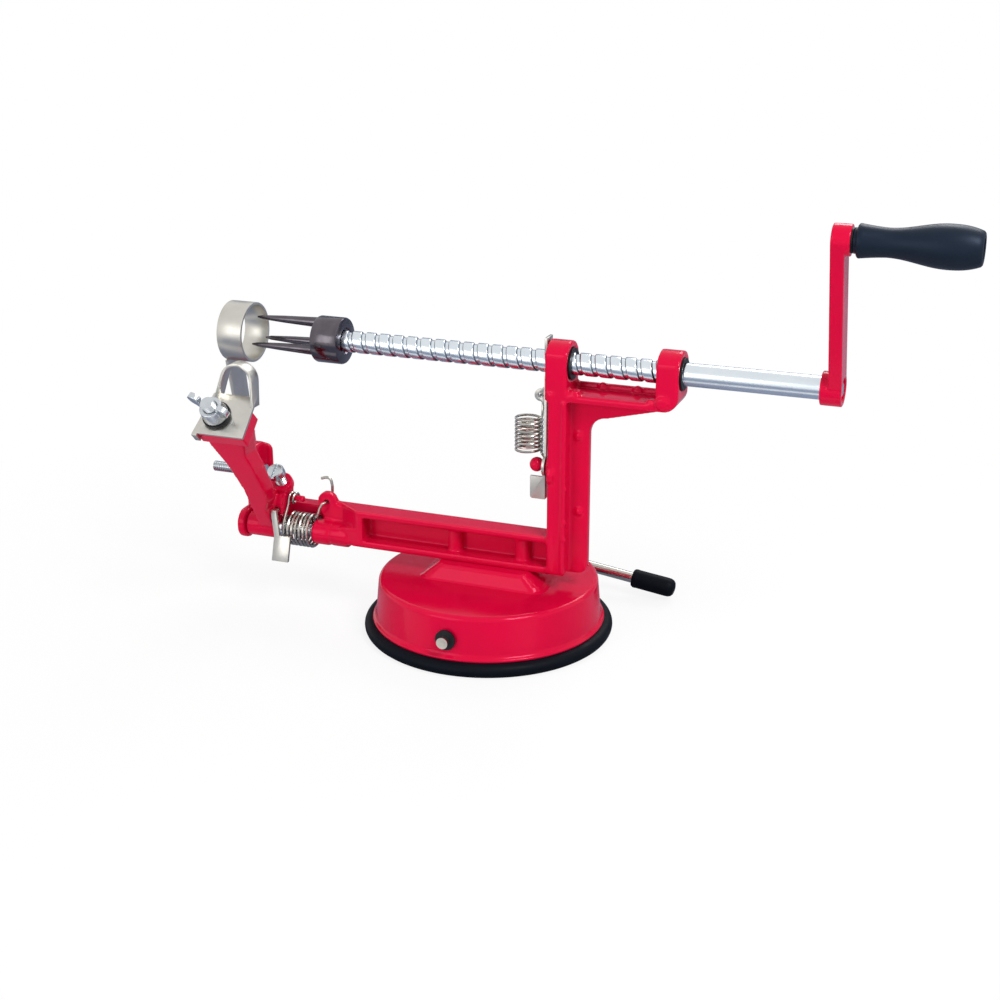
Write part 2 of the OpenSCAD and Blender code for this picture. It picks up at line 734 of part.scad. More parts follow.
module release_spring() {
  echo(release_spring_least_gap = least_gap(release_coil, release_wire_d, 6));
  color(plated_steel) tube(release_path, release_wire_d / 2, [0, 0, 1]);
}

module shaft_bushes() {
  proud = 0.6;
  color(black_plastic) for (x = [lug1_x0, lug2_x0]) difference() {
    rod_x(x, x + lug_t + proud, 0, shaft_z, bush_r);
    rod_x(x - over, x + lug_t + proud + over, 0, shaft_z, shaft_r + fit);
  }
}

// Section of the thread: the crest's arc, and the groove's arc round a0.
module thread_section(a0) {
  crest_r = shaft_r - 0.02;
  root_r = shaft_r - groove_depth;
  half_groove = 180 * groove_w / pitch;
  flank = 14;
  arcs = 8;
  polygon(concat(
    [for (k = [0 : arcs]) let (a = a0 + half_groove + (360 - 2 * half_groove) * k / arcs)
      crest_r * [cos(a), sin(a)]],
    [for (k = [-1 : 1]) let (a = a0 + (half_groove - flank) * k) root_r * [cos(a), sin(a)]]));
}

module feed_shaft() {
  thread_x0 = -fork_x;
  thread_x1 = lug2_x1 + 1;
  thread_len = thread_x1 - thread_x0;
  overlap = 4;
  slices_per_turn = 10;
  tooth_x = (plate_x0 + plate_x1) / 2;
  start = 90 - 360 * (tooth_x - thread_x0) / pitch;
  color(plated_steel) {
    translate([thread_x0, 0, shaft_z]) rotate([90, 0, 90])
      linear_extrude(thread_len, twist = -360 * thread_len / pitch,
        slices = round(slices_per_turn * thread_len / pitch), $fn = 12) thread_section(start);
    rod_x(thread_x1 - overlap / 2, crank_x1, 0, shaft_z, shaft_r);
    rod_x(thread_x0 - fork_len + fork_face, thread_x0 + overlap, 0, shaft_z, spigot_r - press);
  }
}

module apple_fork() {
  hub_x = -fork_x - fork_len;
  tine_r = 1.9;
  tip_r = 0.3;
  tine_sink = 0.5;
  edge = 0.8;
  tine_ring = fork_d / 2 - tine_r - 0.6;
  color(dark_chrome) {
    difference() {
      translate([-fork_x, 0, shaft_z]) rotate([0, -90, 0]) rotate_extrude()
        polygon([[0, 0], [fork_d / 2 - edge, 0], [fork_d / 2, edge], [fork_d / 2, fork_len - edge],
          [fork_d / 2 - edge, fork_len], [0, fork_len]]);
      rod_x(hub_x + fork_face, over - fork_x, 0, shaft_z, spigot_r);
    }
    for (a = [90, 210, 330])
      translate([hub_x + tine_sink, tine_ring * cos(a), shaft_z + tine_ring * sin(a)]) rotate([0, -90, 0])
        cylinder(h = tine_len, r1 = tine_r, r2 = tip_r);
  }
}

// Turns what the crank carries about the shaft, to the crank's place at rest.
module at_crank_rest() {
  translate([0, 0, shaft_z]) rotate([crank_rest, 0, 0]) translate([0, 0, -shaft_z]) children();
}

module crank_arm() {
  arm_x0 = crank_x1 - crank_t;
  boss_rim = 0.7;
  color(enamel_red) at_crank_rest() difference() {
    union() {
      along_x(arm_x0, crank_x1) {
        translate([-crank_w / 2, shaft_z]) square([crank_w, crank_len]);
        for (z = [shaft_z, grip_z]) translate([0, z]) circle(crank_w / 2);
      }
      rod_x(crank_x, crank_x1, 0, shaft_z, crank_w / 2 + boss_rim);
      rod_x(arm_x0, crank_head_x, 0, grip_z, crank_w / 2);
    }
    rod_x(crank_x - over, crank_x1 + over, 0, shaft_z, shaft_r + press);
    rod_x(arm_x0 - over, crank_head_x + over, 0, grip_z, spindle_d / 2 + press);
  }
}

module grip_spindle() {
  head_h = 1.8;
  head_rim = 1.2;
  slot = 1;
  head_x = grip_x0 + grip_len - grip_recess + 0.4;
  head_r = spindle_d / 2 + head_rim;
  color(plated_steel) at_crank_rest() {
    rod_x(crank_x1 - crank_t, head_x + head_h / 4, 0, grip_z, spindle_d / 2);
    difference() {
      rod_x(head_x, head_x + head_h, 0, grip_z, head_r);
      block(head_x + head_h / 2, head_x + head_h + over, -slot / 2, slot / 2, grip_z - head_r - over,
        grip_z + head_r + over);
    }
  }
}

module grip_washer() {
  washer_rim = 2;
  color(plated_steel) at_crank_rest() difference() {
    rod_x(crank_head_x, crank_head_x + grip_washer_t, 0, grip_z, spindle_d / 2 + washer_rim);
    rod_x(crank_head_x - over, crank_head_x + grip_washer_t + over, 0, grip_z, spindle_d / 2 + fit);
  }
}

// The grip's radius as a share of its largest, at a share of its length: waist, belly, rounded end.
function grip_share(at) =
  at < waist_at ? waist_share + collar_gain * (waist_at - at) :
  at < belly_at ?
    (1 + waist_share) / 2 - (1 - waist_share) / 2 * cos(180 * (at - waist_at) / (belly_at - waist_at)) :
  1 - (1 - end_share) * pow((at - belly_at) / (1 - belly_at), 2.5);

module crank_grip() {
  r = grip_d / 2;
  recess_r = spindle_d / 2 + 2;
  stations = 14;
  edge = (neck_len + 0.8) / grip_len;
  color(black_plastic) at_crank_rest() translate([grip_x0, 0, grip_z]) rotate([0, 90, 0]) rotate_extrude()
    polygon(concat([[r * neck_share, 0], [r * neck_share, neck_len]],
      [for (k = [0 : stations]) let (at = edge + (1 - edge) * k / stations)
        [r * grip_share(at), grip_len * at]],
      [[recess_r, grip_len], [recess_r, grip_len - grip_recess],
        [spindle_d / 2 + fit, grip_len - grip_recess], [spindle_d / 2 + fit, 0]]));
}

module at_seat() {
  translate(seat) rotate([blade_slope, 0, 0]) children();
}

// The stop screw's frame: origin at its tip, local z up to its head.
module at_stop() {
  translate([stop_x, stop_tip_y, stop_tip_z]) rotate([stop_tilt, 0, 0]) children();
}

// A point of the stop screw's frame in the YZ plane, from its place up the face and along the screw.
function on_stop(s, t) = [stop_tip_y - t * sin(stop_tilt) + s * cos(stop_tilt),
  stop_tip_z + t * cos(stop_tilt) + s * sin(stop_tilt)];

// Ear that carries the stop screw in a round face, the spring's peg and the thumb plate's tongue, with the
// neck that joins it to the hub and the bar.
module stop_ear() {
  face_r = 4.2;
  face_t = 2.2;
  sink = 1;
  ear_knee = pivot_z + 14.4;
  knee_back = 3.2;
  low_back = 1;
  neck_len = 3.8;
  neck_low = pivot_z + 1;
  neck_top = pivot_z + 18;
  neck_front = -pivot_y - 4.4;
  neck_back = 3.4 - pivot_y;
  along_x(ear_x0, ear_x1)
    polygon([[ear_front, ear_low], [low_back, ear_low], [knee_back, ear_knee],
      on_stop(3.6, stop_face - face_t), on_stop(-6.2, stop_face - face_t), [ear_front, ear_low + 4.1]]);
  at_stop() translate([0, 0, stop_face - face_t - sink]) cylinder(h = face_t + sink, r = face_r);
  along_x(arm_root_x1 - neck_len, arm_root_x1)
    polygon([[neck_front, neck_low], [neck_back, neck_low], [low_back, ear_low + 1], [-3, ear_knee],
      [-8, neck_top], [-14, ear_knee - 2]]);
  rod_x(ear_x1 - 1, ear_x1 + peg_len, peg_y, peg_z, peg_r);
}

// A point of the blade's seat, from its place up the slope and out of the plate.
function on_seat(y, z) = [seat[1] + y * cos(blade_slope) - z * sin(blade_slope),
  seat[2] + y * sin(blade_slope) + z * cos(blade_slope)];

// Leaning bar from the hub to the blade's seat.
module arm_bar() {
  root_w = 6.6;
  step_z = tongue_z + thumb_t + 0.9;
  waist_z = pivot_z + 20.4;
  waist_x0 = seat[0] - 2;
  waist_x1 = seat[0] + 6.7;
  chest_z = pivot_z + 32.5;
  root_front = -pivot_y - 5.4;
  root_back = -pivot_y - 1;
  root_low = pivot_z + 1.5;
  root_top = pivot_z + 4;
  shoulder = 2.5;
  sink = 1;
  top_z = seat[2];
  knee_z = top_z - 6;
  bar_x0 = seat[0] + seat_x0 + 1;
  bar_x1 = seat[0] + seat_x1 - 2;
  intersection() {
    along_x(hub_x0, bar_x1 + over)
      polygon([[root_front, root_low], [root_back, root_low], [root_back, root_top],
        on_seat(shoulder, sink - seat_t), on_seat(plate_y0 + 2, shoulder - seat_t)]);
    along_y(2 * seat[1], 0)
      polygon([[arm_root_x1 - root_w, root_low], [arm_root_x1, root_low], [arm_root_x1, step_z],
        [waist_x1 - 1.3, waist_z - 5.5], [waist_x1, waist_z], [waist_x1 + 0.4, chest_z],
        [waist_x1, chest_z + 6], [bar_x1, knee_z], [bar_x1, top_z], [bar_x0, top_z], [bar_x0, knee_z - 5],
        [waist_x0 - 0.9, chest_z], [waist_x0, waist_z]]);
  }
}

module peeler_arm() {
  pad_back = 4;
  bore_len = 24;
  head_room = bolt_d / 2 + bolt_head_rim + 0.3;
  color(enamel_red) difference() {
    union() {
      rod_x(hub_x0, hub_x1, -pivot_y, pivot_z, hub_r);
      arm_bar();
      at_seat() block(seat_x0, seat_x1, plate_y0 + 0.2, pad_back, -seat_t, 0);
      stop_ear();
    }
    rod_x(hub_x0 - over, hub_x1 + over, -pivot_y, pivot_z, pin_r + fit);
    at_seat() translate([0, 0, over - bore_len]) cylinder(h = bore_len, r = bolt_d / 2 + press);
    at_seat() translate([0, 0, -bore_len]) cylinder(h = bore_len - seat_t, r = head_room);
    at_stop() translate([0, 0, -over]) cylinder(h = bore_len, r = stop_d / 2 + press);
    block(tongue_x0 - hole_play, tongue_x0 + tongue_w + hole_play, ear_front - over, tongue_y + hole_play,
      tongue_z - hole_play, tongue_z + thumb_t + hole_play);
  }
}

module peeler_blade() {
  slot_half = 2;
  slot_r = bolt_d / 2 + 0.2;
  plate_x0 = seat_x0 - 1;
  plate_x1 = plate_x0 + plate_w;
  corner = 3;
  lip_w = 2;
  lip_drop = 3;
  lean_in = 1.2;
  color(nickel) {
    at_seat() difference() {
      union() {
        linear_extrude(blade_t)
          polygon([[plate_x0, plate_y0], [plate_x1, plate_y0], [plate_x1, plate_y1],
            [plate_x0 + corner, plate_y1]]);
        block(plate_x0, plate_x0 + lip_w, plate_y0 - blade_t, plate_y0 + 0.05, -lip_drop, blade_t);
      }
      for (y = [-slot_half, slot_half]) translate([0, y, -over]) cylinder(h = blade_t + 2 * over, r = slot_r);
      block(-slot_r, slot_r, -slot_half, slot_half, -over, blade_t + over);
    }
    translate(seat + [0, plate_y1 * cos(blade_slope) - hoop_d + lean_in, plate_y1 * sin(blade_slope)])
      hoop((plate_x0 + plate_x1) / 2 + 2, hoop_w / 2.5);
  }
}

// Cutting hoop: a strip bent over in an arch, leaning to the crank's side.
module hoop(x, r) {
  translate([0, hoop_d, -hoop_foot]) rotate([90, 0, 0]) linear_extrude(hoop_d) difference() {
    hoop_outline(x, r, 0, 0);
    hoop_outline(x, r, blade_t, -1);
  }
}

module hoop_outline(x, r, inset, low) {
  lean = 1.8;
  half = hoop_w / 2 - inset;
  hull() {
    translate([x + lean, hoop_h + hoop_foot - r]) circle(r - inset, $fn = 32);
    translate([x - half, low]) square([2 * half, 1]);
  }
}

module blade_bolt() {
  head_h = 2;
  proud = 10.5;
  color(plated_steel) at_seat() translate([0, 0, -seat_t - head_h]) {
    cylinder(h = seat_t + head_h + proud, r = bolt_d / 2);
    cylinder(h = head_h, r = bolt_d / 2 + bolt_head_rim);
  }
}

module blade_washer() {
  washer_rim = 2.7;
  color(black_plastic) at_seat() translate([0, 0, blade_t]) difference() {
    cylinder(h = washer_t, r = bolt_d / 2 + washer_rim);
    translate([0, 0, -over]) cylinder(h = washer_t + 2 * over, r = bolt_d / 2 + press);
  }
}

module wing_nut() {
  turn = -17;
  boss_h = 5.4;
  boss_wide = bolt_d / 2 + 2.3;
  boss_narrow = bolt_d / 2 + 1.6;
  wing_t = 2.2;
  tip_r = 2.6;
  tip_z = 6.6;
  tip_x = wing_span / 2 - tip_r;
  color(plated_steel) at_seat() rotate([0, 0, turn]) translate([0, 0, blade_t + washer_t]) difference() {
    union() {
      cylinder(h = boss_h, r1 = boss_wide, r2 = boss_narrow);
      rotate([90, 0, 0]) translate([0, 0, -wing_t / 2]) linear_extrude(wing_t) for (s = [-1, 1]) {
        polygon([[s * 3, 1], [s * tip_x, tip_z - 2.4], [s * (tip_x - 1.8), tip_z + 1.4], [s * 3, tip_z - 2]]);
        translate([s * tip_x, tip_z]) circle(tip_r);
      }
    }
    translate([0, 0, -over]) cylinder(h = 2 * tip_z, r = bolt_d / 2 + fit);
  }
}

module stop_screw() {
  slot = 1;
  color(plated_steel) at_stop() {
    cylinder(h = stop_len + stop_head_h / 4, r = stop_d / 2);
    translate([0, 0, stop_len]) difference() {
      cylinder(h = stop_head_h, r = stop_head_d / 2);
      translate([-slot / 2, -stop_head_d, stop_head_h - slot]) cube([slot, 2 * stop_head_d, 2 * slot]);
    }
  }
}

// Paddle below the spring, its stem in front of the spring's end and its tongue in the arm's ear.
module thumb_plate() {
  front = -pivot_y - arm_spring_r - arm_wire_d / 2 - 0.5;
  paddle_x0 = hub_x1 + 0.1;
  paddle_z1 = pivot_z - 0.6;
  paddle_z0 = paddle_z1 - paddle_len;
  flare = 2.8;
  stem_z0 = paddle_z1 - 0.5;
  color(nickel) {
    along_x(paddle_x0, paddle_x0 + paddle_w) polygon([[front - thumb_t, paddle_z1], [front, paddle_z1],
      [front - flare, paddle_z0], [front - thumb_t - flare, paddle_z0]]);
    along_y(front - thumb_t, front) polygon([[paddle_x0, stem_z0], [paddle_x0 + tongue_w, stem_z0],
      [tongue_x0 + tongue_w, tongue_z + thumb_t], [tongue_x0, tongue_z + thumb_t]]);
    block(tongue_x0, tongue_x0 + tongue_w, front - thumb_t, tongue_y, tongue_z, tongue_z + thumb_t);
  }
}

module release_plate() {
  head_r = half_w - 0.2;
  hole_r = shaft_r + 0.55;
  tip_z = shaft_z + lug_r + 0.8;
  tip_half = 3;
  stem_half = 4;
  // how far the upper plate reaches to the front, where it is open round the shaft
  front_half = 2.9;
  foot_half = 2.6;
  tab_z0 = stud_z - 12;
  tab_z1 = stud_z - 3.6;
  tab_x0 = plate_x0 - 4.6;
  slot_r = stud_r + fit;
  eye_r = 2.2;
  eye_root = 4;
  sheet = 1;
  tooth_low = shaft_z + shaft_r - tooth_depth;
  cut_x0 = plate_x0 - over;
  cut_x1 = plate_x1 + over;
  color(nickel) {
    difference() {
      along_x(plate_x0, plate_x1) {
        intersection() {
          union() {
            translate([0, shaft_z]) circle(head_r);
            translate([-tip_half, shaft_z]) square([2 * tip_half, tip_z - shaft_z]);
            translate([-stem_half, stud_z]) square([2 * stem_half, shaft_z - stud_z]);
          }
          translate([-front_half, stud_z]) square([front_half + half_w, tip_z - stud_z]);
        }
        translate([stud_y, stud_z]) circle(stem_half);
        translate([stud_y - foot_half, tab_z0]) square([2 * foot_half, stud_z - tab_z0]);
      }
      difference() {
        union() {
          rod_x(cut_x0, cut_x1, 0, shaft_z, hole_r);
          rod_x(cut_x0, cut_x1, 0, shaft_z - release_travel, hole_r);
          block(cut_x0, cut_x1, -hole_r, hole_r, shaft_z - release_travel, shaft_z);
        }
        // tooth that rides in the thread's groove
        block(cut_x0 - over, cut_x1 + over, -tooth_w / 2, tooth_w / 2, tooth_low, tooth_low + 2);
      }
      rod_x(cut_x0, cut_x1, stud_y, stud_z, slot_r);
      rod_x(cut_x0, cut_x1, stud_y, stud_z - release_travel, slot_r);
      block(cut_x0, cut_x1, stud_y - slot_r, stud_y + slot_r, stud_z - release_travel, stud_z);
    }
    // thumb tab, and the ear that the spring pulls on
    along_y(stud_y - foot_half, stud_y - foot_half + sheet)
      round_foot(tab_x0, plate_x1, tab_z0, tab_z1, sheet);
    along_y(-sheet / 2, sheet / 2) difference() {
      union() {
        translate([ear_x, ear_z]) circle(eye_r);
        polygon([[ear_x, ear_z - eye_r], [plate_x0 + 0.3, ear_z - eye_root],
          [plate_x0 + 0.3, ear_z + eye_root], [ear_x, ear_z + eye_r]]);
      }
      translate([ear_x, ear_z]) circle(release_wire_d / 2 + gap);
    }
  }
}

module at_axle() {
  translate([0, 0, axle_z]) rotate([0, lever_drop, 0]) children();
}

module suction_lever() {
  color(plated_steel) at_axle() difference() {
    union() {
      translate([0, axle_back, 0]) rotate([90, 0, 0]) cylinder(h = axle_back + axle_front, r = rod_r);
      translate([lever_bend, axle_back, 0]) rotate([0, 0, 90]) rotate_extrude(angle = 90)
        translate([lever_bend, 0]) circle(rod_r);
      rod_x(lever_bend, lever_len - tip_len + tip_socket, axle_back + lever_bend, 0, rod_r);
    }
    // groove for the clip
    translate([0, -clip_y, 0]) rotate([90, 0, 0]) difference() {
      cylinder(h = clip_t + hole_play, r = rod_r + over);
      translate([0, 0, -over]) cylinder(h = clip_t + 3 * over, r = rod_r - clip_groove);
    }
  }
}

module lever_tip() {
  r = tip_d / 2;
  round = 1.2;
  shoulder = 0.5;
  tip_x0 = lever_len - tip_len;
  tip_y = axle_back + lever_bend;
  color(black_rubber) at_axle() difference() {
    translate([tip_x0, tip_y, 0]) rotate([0, 90, 0]) rotate_extrude()
      polygon([[0, 0], [r - 2 * round, 0], [r - shoulder, round], [r, 2 * round], [r, tip_len - 2 * round],
        [r - shoulder, tip_len - round], [r - 2 * round, tip_len], [0, tip_len]]);
    rod_x(tip_x0 - over, tip_x0 + tip_socket, tip_y, 0, rod_r + press);
  }
}

// The cam's lobe points down at rest, half the lever's leftover angle short of upright at each end.
module suction_cam() {
  color(plated_steel) translate([0, cam_w / 2, axle_z]) rotate([90, 0, 0]) difference() {
    rotate([0, 0, lever_drop]) translate([0, -cam_throw]) cylinder(h = cam_w, r = cam_d / 2);
    translate([0, 0, -over]) cylinder(h = cam_w + 2 * over, r = rod_r + press);
  }
}

module lever_clip() {
  clip_rim = 1.6;
  mouth = 2.2;
  mouth_turn = 215;
  color(black_plastic) translate([0, -clip_y - hole_play / 2, axle_z]) rotate([90, 0, 0])
    linear_extrude(clip_t) difference() {
      circle(rod_r + clip_rim);
      circle(rod_r - clip_groove + press);
      rotate(mouth_turn) translate([0, -mouth / 2]) square([2 * rod_r + clip_rim, mouth]);
    }
}

// Yoke round the cam, on the disc that lifts the pad.
module suction_stem() {
  half_in = cam_d / 2 + cam_throw + stem_play;
  half_out = half_in + stem_wall;
  cam_z = axle_z - cam_throw * cos(lever_drop);
  low = cam_z - cam_d / 2 - stem_play;
  high = cam_z + cam_d / 2 + stem_play;
  yoke_z0 = pad_t + foot_t / 2;
  color(plated_steel) {
    along_y(-cam_w / 2, cam_w / 2) difference() {
      translate([-half_out, yoke_z0]) square([2 * half_out, high + stem_wall - yoke_z0]);
      translate([-half_in, low]) square([2 * half_in, high - low]);
    }
    translate([0, 0, pad_t]) cylinder(h = foot_t, r = foot_r);
  }
}

base_housing();
suction_pad();
frame_casting();
frame_screws();
arm_pivot_pin();
slicer_blade();
slicer_bolt();
slicer_nut();
arm_washer();
arm_spring();
release_spring();
shaft_bushes();
feed_shaft();
apple_fork();
crank_arm();
grip_spindle();
grip_washer();
crank_grip();
peeler_arm();
peeler_blade();
blade_bolt();
blade_washer();
wing_nut();
stop_screw();
thumb_plate();
release_plate();
suction_lever();
lever_tip();
suction_cam();
lever_clip();
suction_stem();
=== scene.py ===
"""Dressed scene of a hand-cranked peeler on a suction base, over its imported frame."""

from __future__ import annotations

import logging
from collections.abc import Sequence
from dataclasses import dataclass
from enum import Enum
from math import ceil, cos, hypot, pi, radians, sin

import bmesh
import bpy
from bpy.types import NodeTree, Object
from mathutils import Matrix, Vector


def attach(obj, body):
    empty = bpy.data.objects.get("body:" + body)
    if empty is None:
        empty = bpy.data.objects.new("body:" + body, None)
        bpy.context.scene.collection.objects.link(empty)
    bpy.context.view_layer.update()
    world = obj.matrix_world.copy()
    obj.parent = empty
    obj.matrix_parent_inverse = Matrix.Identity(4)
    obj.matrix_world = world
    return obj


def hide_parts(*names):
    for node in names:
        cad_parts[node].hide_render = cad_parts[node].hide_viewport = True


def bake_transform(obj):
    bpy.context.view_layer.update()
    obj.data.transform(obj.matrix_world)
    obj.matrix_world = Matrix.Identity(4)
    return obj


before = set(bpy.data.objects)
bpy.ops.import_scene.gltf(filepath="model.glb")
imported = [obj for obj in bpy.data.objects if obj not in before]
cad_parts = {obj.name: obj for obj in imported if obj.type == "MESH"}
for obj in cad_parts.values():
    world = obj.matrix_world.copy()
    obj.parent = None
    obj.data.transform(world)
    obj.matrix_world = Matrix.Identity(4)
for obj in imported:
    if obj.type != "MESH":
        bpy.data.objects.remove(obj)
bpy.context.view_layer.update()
LOG = logging.getLogger("peeler")

MM = 0.001  # metres
PHOTO_PX = 1000  # side of the photograph
FULL_TURN = 2 * pi
WELD, WELD_FINE = 0.002, 0.0005  # mm within which points are merged
FLAT, SHARP, CREASE = 0.6, 32.0, 38.0  # degrees: one face, a rounded edge, a hard edge in shading
ROUND_STEP = 15  # degrees between the points of a round corner
COIL_STEPS = 16  # points in a turn of a spring
WIRE_FINE, WIRE_SIDES = 3, 2  # steps between a wire's points, and its bevel resolution
BITE = 1.0  # mm that added forms reach into what they fuse with
SCREW_PITCH = 0.8  # mm, of every fastener
THREAD_CREST = (0.4, 0.6)  # shares of the pitch between which a fastener's thread is full
NOISE_SPAN = (0.3, 0.7)  # between these lies most of a noise texture
BUMP = 0.3  # strength of every bump
WHITE = (1.0, 1.0, 1.0, 1.0)

Pair = tuple[float, float]
Point = tuple[float, float, float]
Profile = Sequence[Pair]
Route = Sequence[Point]
Table = Sequence[tuple[float, ...]]


class Body(Enum):
    """Moving bodies of the frame that a piece can ride on."""

    FRAME = "frame"
    SHAFT = "shaft"
    GRIP = "grip"
    ARM = "arm"
    WING = "wing"
    RELEASE = "release"
    LEVER = "lever"


def linear(code: str) -> tuple[float, float, float, float]:
    """Turn an sRGB hex colour into linear RGBA.

    Args:
        code: Colour as "#rrggbb".

    Returns:
        Linear red, green, blue and an alpha of 1.
    """
    parts = [int(code[i:i + 2], 16) / 255 for i in (1, 3, 5)]
    red, green, blue = (p / 12.92 if p <= 0.04045 else ((p + 0.055) / 1.055) ** 2.4 for p in parts)
    return red, green, blue, 1.0


def add_node(tree: NodeTree, kind: str, inputs: dict[str, object],
             **settings: object) -> bpy.types.Node:
    """Add a node with its settings, input values and links.

    Args:
        tree: Tree that gets the node.
        kind: Node type, such as "ShaderNodeTexNoise".
        inputs: Input name to a value, or to an output socket that is linked in.
        **settings: Node properties.

    Returns:
        The new node.
    """
    node = tree.nodes.new(kind)
    for name, value in settings.items():
        setattr(node, name, value)
    for name, value in inputs.items():
        socket = node.inputs[int(name)] if name.isdigit() else node.inputs[name]
        if isinstance(value, bpy.types.NodeSocket):
            tree.links.new(value, socket)
        else:
            socket.default_value = value
    return node


def per_mm(size: float) -> float:
    """Texture scale whose features are about this many millimetres across."""
    return 1.0 / (size * MM)


def arc(x: float, y: float, r: float, degrees: range) -> list[Pair]:
    """Points of a circle about (x, y) at these angles."""
    turns = [radians(a) for a in degrees]
    return [(x + r * cos(a), y + r * sin(a)) for a in turns]


def shifted(curve: Profile, out: float, up: float) -> list[Pair]:
    """A curve's points, moved outwards and up."""
    return [(out + x, up + y) for x, y in curve]


def link_new(name: str, data: bpy.types.ID) -> Object:
    """Put new data into the scene as an object at the origin.

    Args:
        name: Name of the object.
        data: Its mesh, curve, lamp or camera.

    Returns:
        The object.
    """
    obj = bpy.data.objects.new(name, data)
    bpy.context.scene.collection.objects.link(obj)
    return obj


@dataclass(frozen=True)
class Finish:
    """A surface: clouds vary its colour and roughness, and a grain gives it a bump; sizes in mm."""

    name: str
    slot: str
    base: str
    shade: str
    roughness: float
    spread: float
    cloud: float
    grain: float
    depth: float
    stretch: Point = (1.0, 1.0, 1.0)
    metallic: float = 0.0
    gloss: float = 0.5
    tint: str = "#ffffff"

    def material(self) -> bpy.types.Material:
        """Make the material, or give the one already made.

        Returns:
            The procedural material of this finish.
        """
        made = bpy.data.materials.get(self.name)
        if made:
            return made
        made = bpy.data.materials.new(self.name)
        made.use_nodes = True
        tree = made.node_tree
        shader = tree.nodes["Principled BSDF"]
        shader.inputs["Metallic"].default_value = self.metallic
        shader.inputs["Specular IOR Level"].default_value = self.gloss
        shader.inputs["Specular Tint"].default_value = linear(self.tint)
        place = add_node(tree, "ShaderNodeTexCoord", {}).outputs["Object"]
        clouds = add_node(tree, "ShaderNodeTexNoise",
                          {"Vector": place, "Scale": per_mm(self.cloud), "Detail": 3.0})
        tone = add_node(tree, "ShaderNodeMix",
                        {"0": clouds.outputs["Fac"], "6": linear(self.base),
                         "7": linear(self.shade)}, data_type="RGBA")
        tree.links.new(tone.outputs[2], shader.inputs["Base Color"])
        rough = add_node(tree, "ShaderNodeMapRange",
                         {"Value": clouds.outputs["Fac"], "From Min": NOISE_SPAN[0],
                          "From Max": NOISE_SPAN[1], "To Min": self.roughness - self.spread,
                          "To Max": self.roughness + self.spread})
        tree.links.new(rough.outputs["Result"], shader.inputs["Roughness"])
        run = add_node(tree, "ShaderNodeMapping", {"Vector": place, "Scale": self.stretch})
        grain = add_node(tree, "ShaderNodeTexNoise",
                         {"Vector": run.outputs["Vector"], "Scale": per_mm(self.grain),
                          "Detail": 2.0})
        bump = add_node(tree, "ShaderNodeBump",
                        {"Height": grain.outputs["Fac"], "Strength": BUMP,
                         "Distance": self.depth * MM})
        tree.links.new(bump.outputs["Normal"], shader.inputs["Normal"])
        return made


# Stoved enamel on cast and pressed metal: a wet gloss with a pink tinge, a faint orange peel and
# slightly pooled colour.
RED_ENAMEL = Finish("stoved_red_enamel", "red_enamel", "#cc0637", "#bb0430", roughness=0.14,
                    spread=0.04, cloud=14.0, grain=1.6, depth=0.05, gloss=0.34, tint="#ff8fb0")
# Hard chrome on rolled steel: bright and even, with fine turning lines round the bar.
SHAFT_CHROME = Finish("chromed_steel_shaft", "shaft_chrome", "#e2e9ee", "#cfd8df", roughness=0.23,
                      spread=0.03, cloud=5.0, grain=0.9, depth=0.012, stretch=(1.0, 0.15, 0.15),
                      metallic=1.0)
# Walls of the feed thread: the same chrome, painted darker as painted shade in the grooves.
GROOVE_PAINTED_SHADE_CHROME = Finish("thread_wall_painted_shade_chrome", "shaft_chrome", "#7b838f", "#5d6570",
                       roughness=0.35, spread=0.05, cloud=3.0, grain=0.7, depth=0.02, metallic=1.0)
# Chrome of the fork, its colour painted darker as a painted dark reflection, a little streaked.
FORK_PAINTED_REFLECTION_CHROME = Finish("fork_chrome_painted_reflection", "fork_chrome", "#6f6a70", "#48434a", roughness=0.2,
                     spread=0.06, cloud=4.0, grain=0.8, depth=0.02, stretch=(0.2, 1.0, 1.0),
                     metallic=1.0)
# Bright zinc plate on screws and nuts: pale, faintly mottled.
BRIGHT_ZINC = Finish("bright_zinc_plate", "bright_zinc", "#d3d7db", "#b4babf", roughness=0.24,
                     spread=0.07, cloud=2.5, grain=0.7, depth=0.02, metallic=1.0)
# Satin nickel on sheet steel: brushed one way, so its gloss is drawn out.
SATIN_NICKEL = Finish("satin_nickel_sheet", "satin_nickel", "#cfcdc6", "#bab7af", roughness=0.36,
                      spread=0.06, cloud=6.0, grain=0.5, depth=0.02, stretch=(0.08, 1.0, 1.0),
                      metallic=1.0)
# Nickel plate on the bent lever rod: brighter than the sheet, with drawn lines and a warm sheen.
NICKEL_ROD = Finish("nickel_plated_rod", "satin_nickel", "#d0cdc5", "#a5a199", roughness=0.2,
                    spread=0.06, cloud=3.0, grain=0.6, depth=0.02, stretch=(0.15, 1.0, 1.0),
                    metallic=1.0)
# Drawn spring wire: fine draw marks and a slight oil tint.
SPRING_WIRE = Finish("drawn_spring_wire", "spring_wire", "#c9c6bf", "#9b978e", roughness=0.26,
                     spread=0.06, cloud=1.8, grain=0.5, depth=0.02, metallic=1.0)
# Moulded rubber: matt, dusty in patches, with a fine skin.
BLACK_RUBBER = Finish("moulded_black_rubber", "black_rubber", "#05080d", "#0b1018", roughness=0.5,
                      spread=0.1, cloud=7.0, grain=0.6, depth=0.06, gloss=0.06)
# Moulded nylon of the bushes and a washer: black with a soft, even shine.
BLACK_NYLON = Finish("moulded_black_nylon", "black_nylon", "#0b0c0f", "#131519", roughness=0.45,
                     spread=0.08, cloud=3.0, grain=0.5, depth=0.03, gloss=0.25)
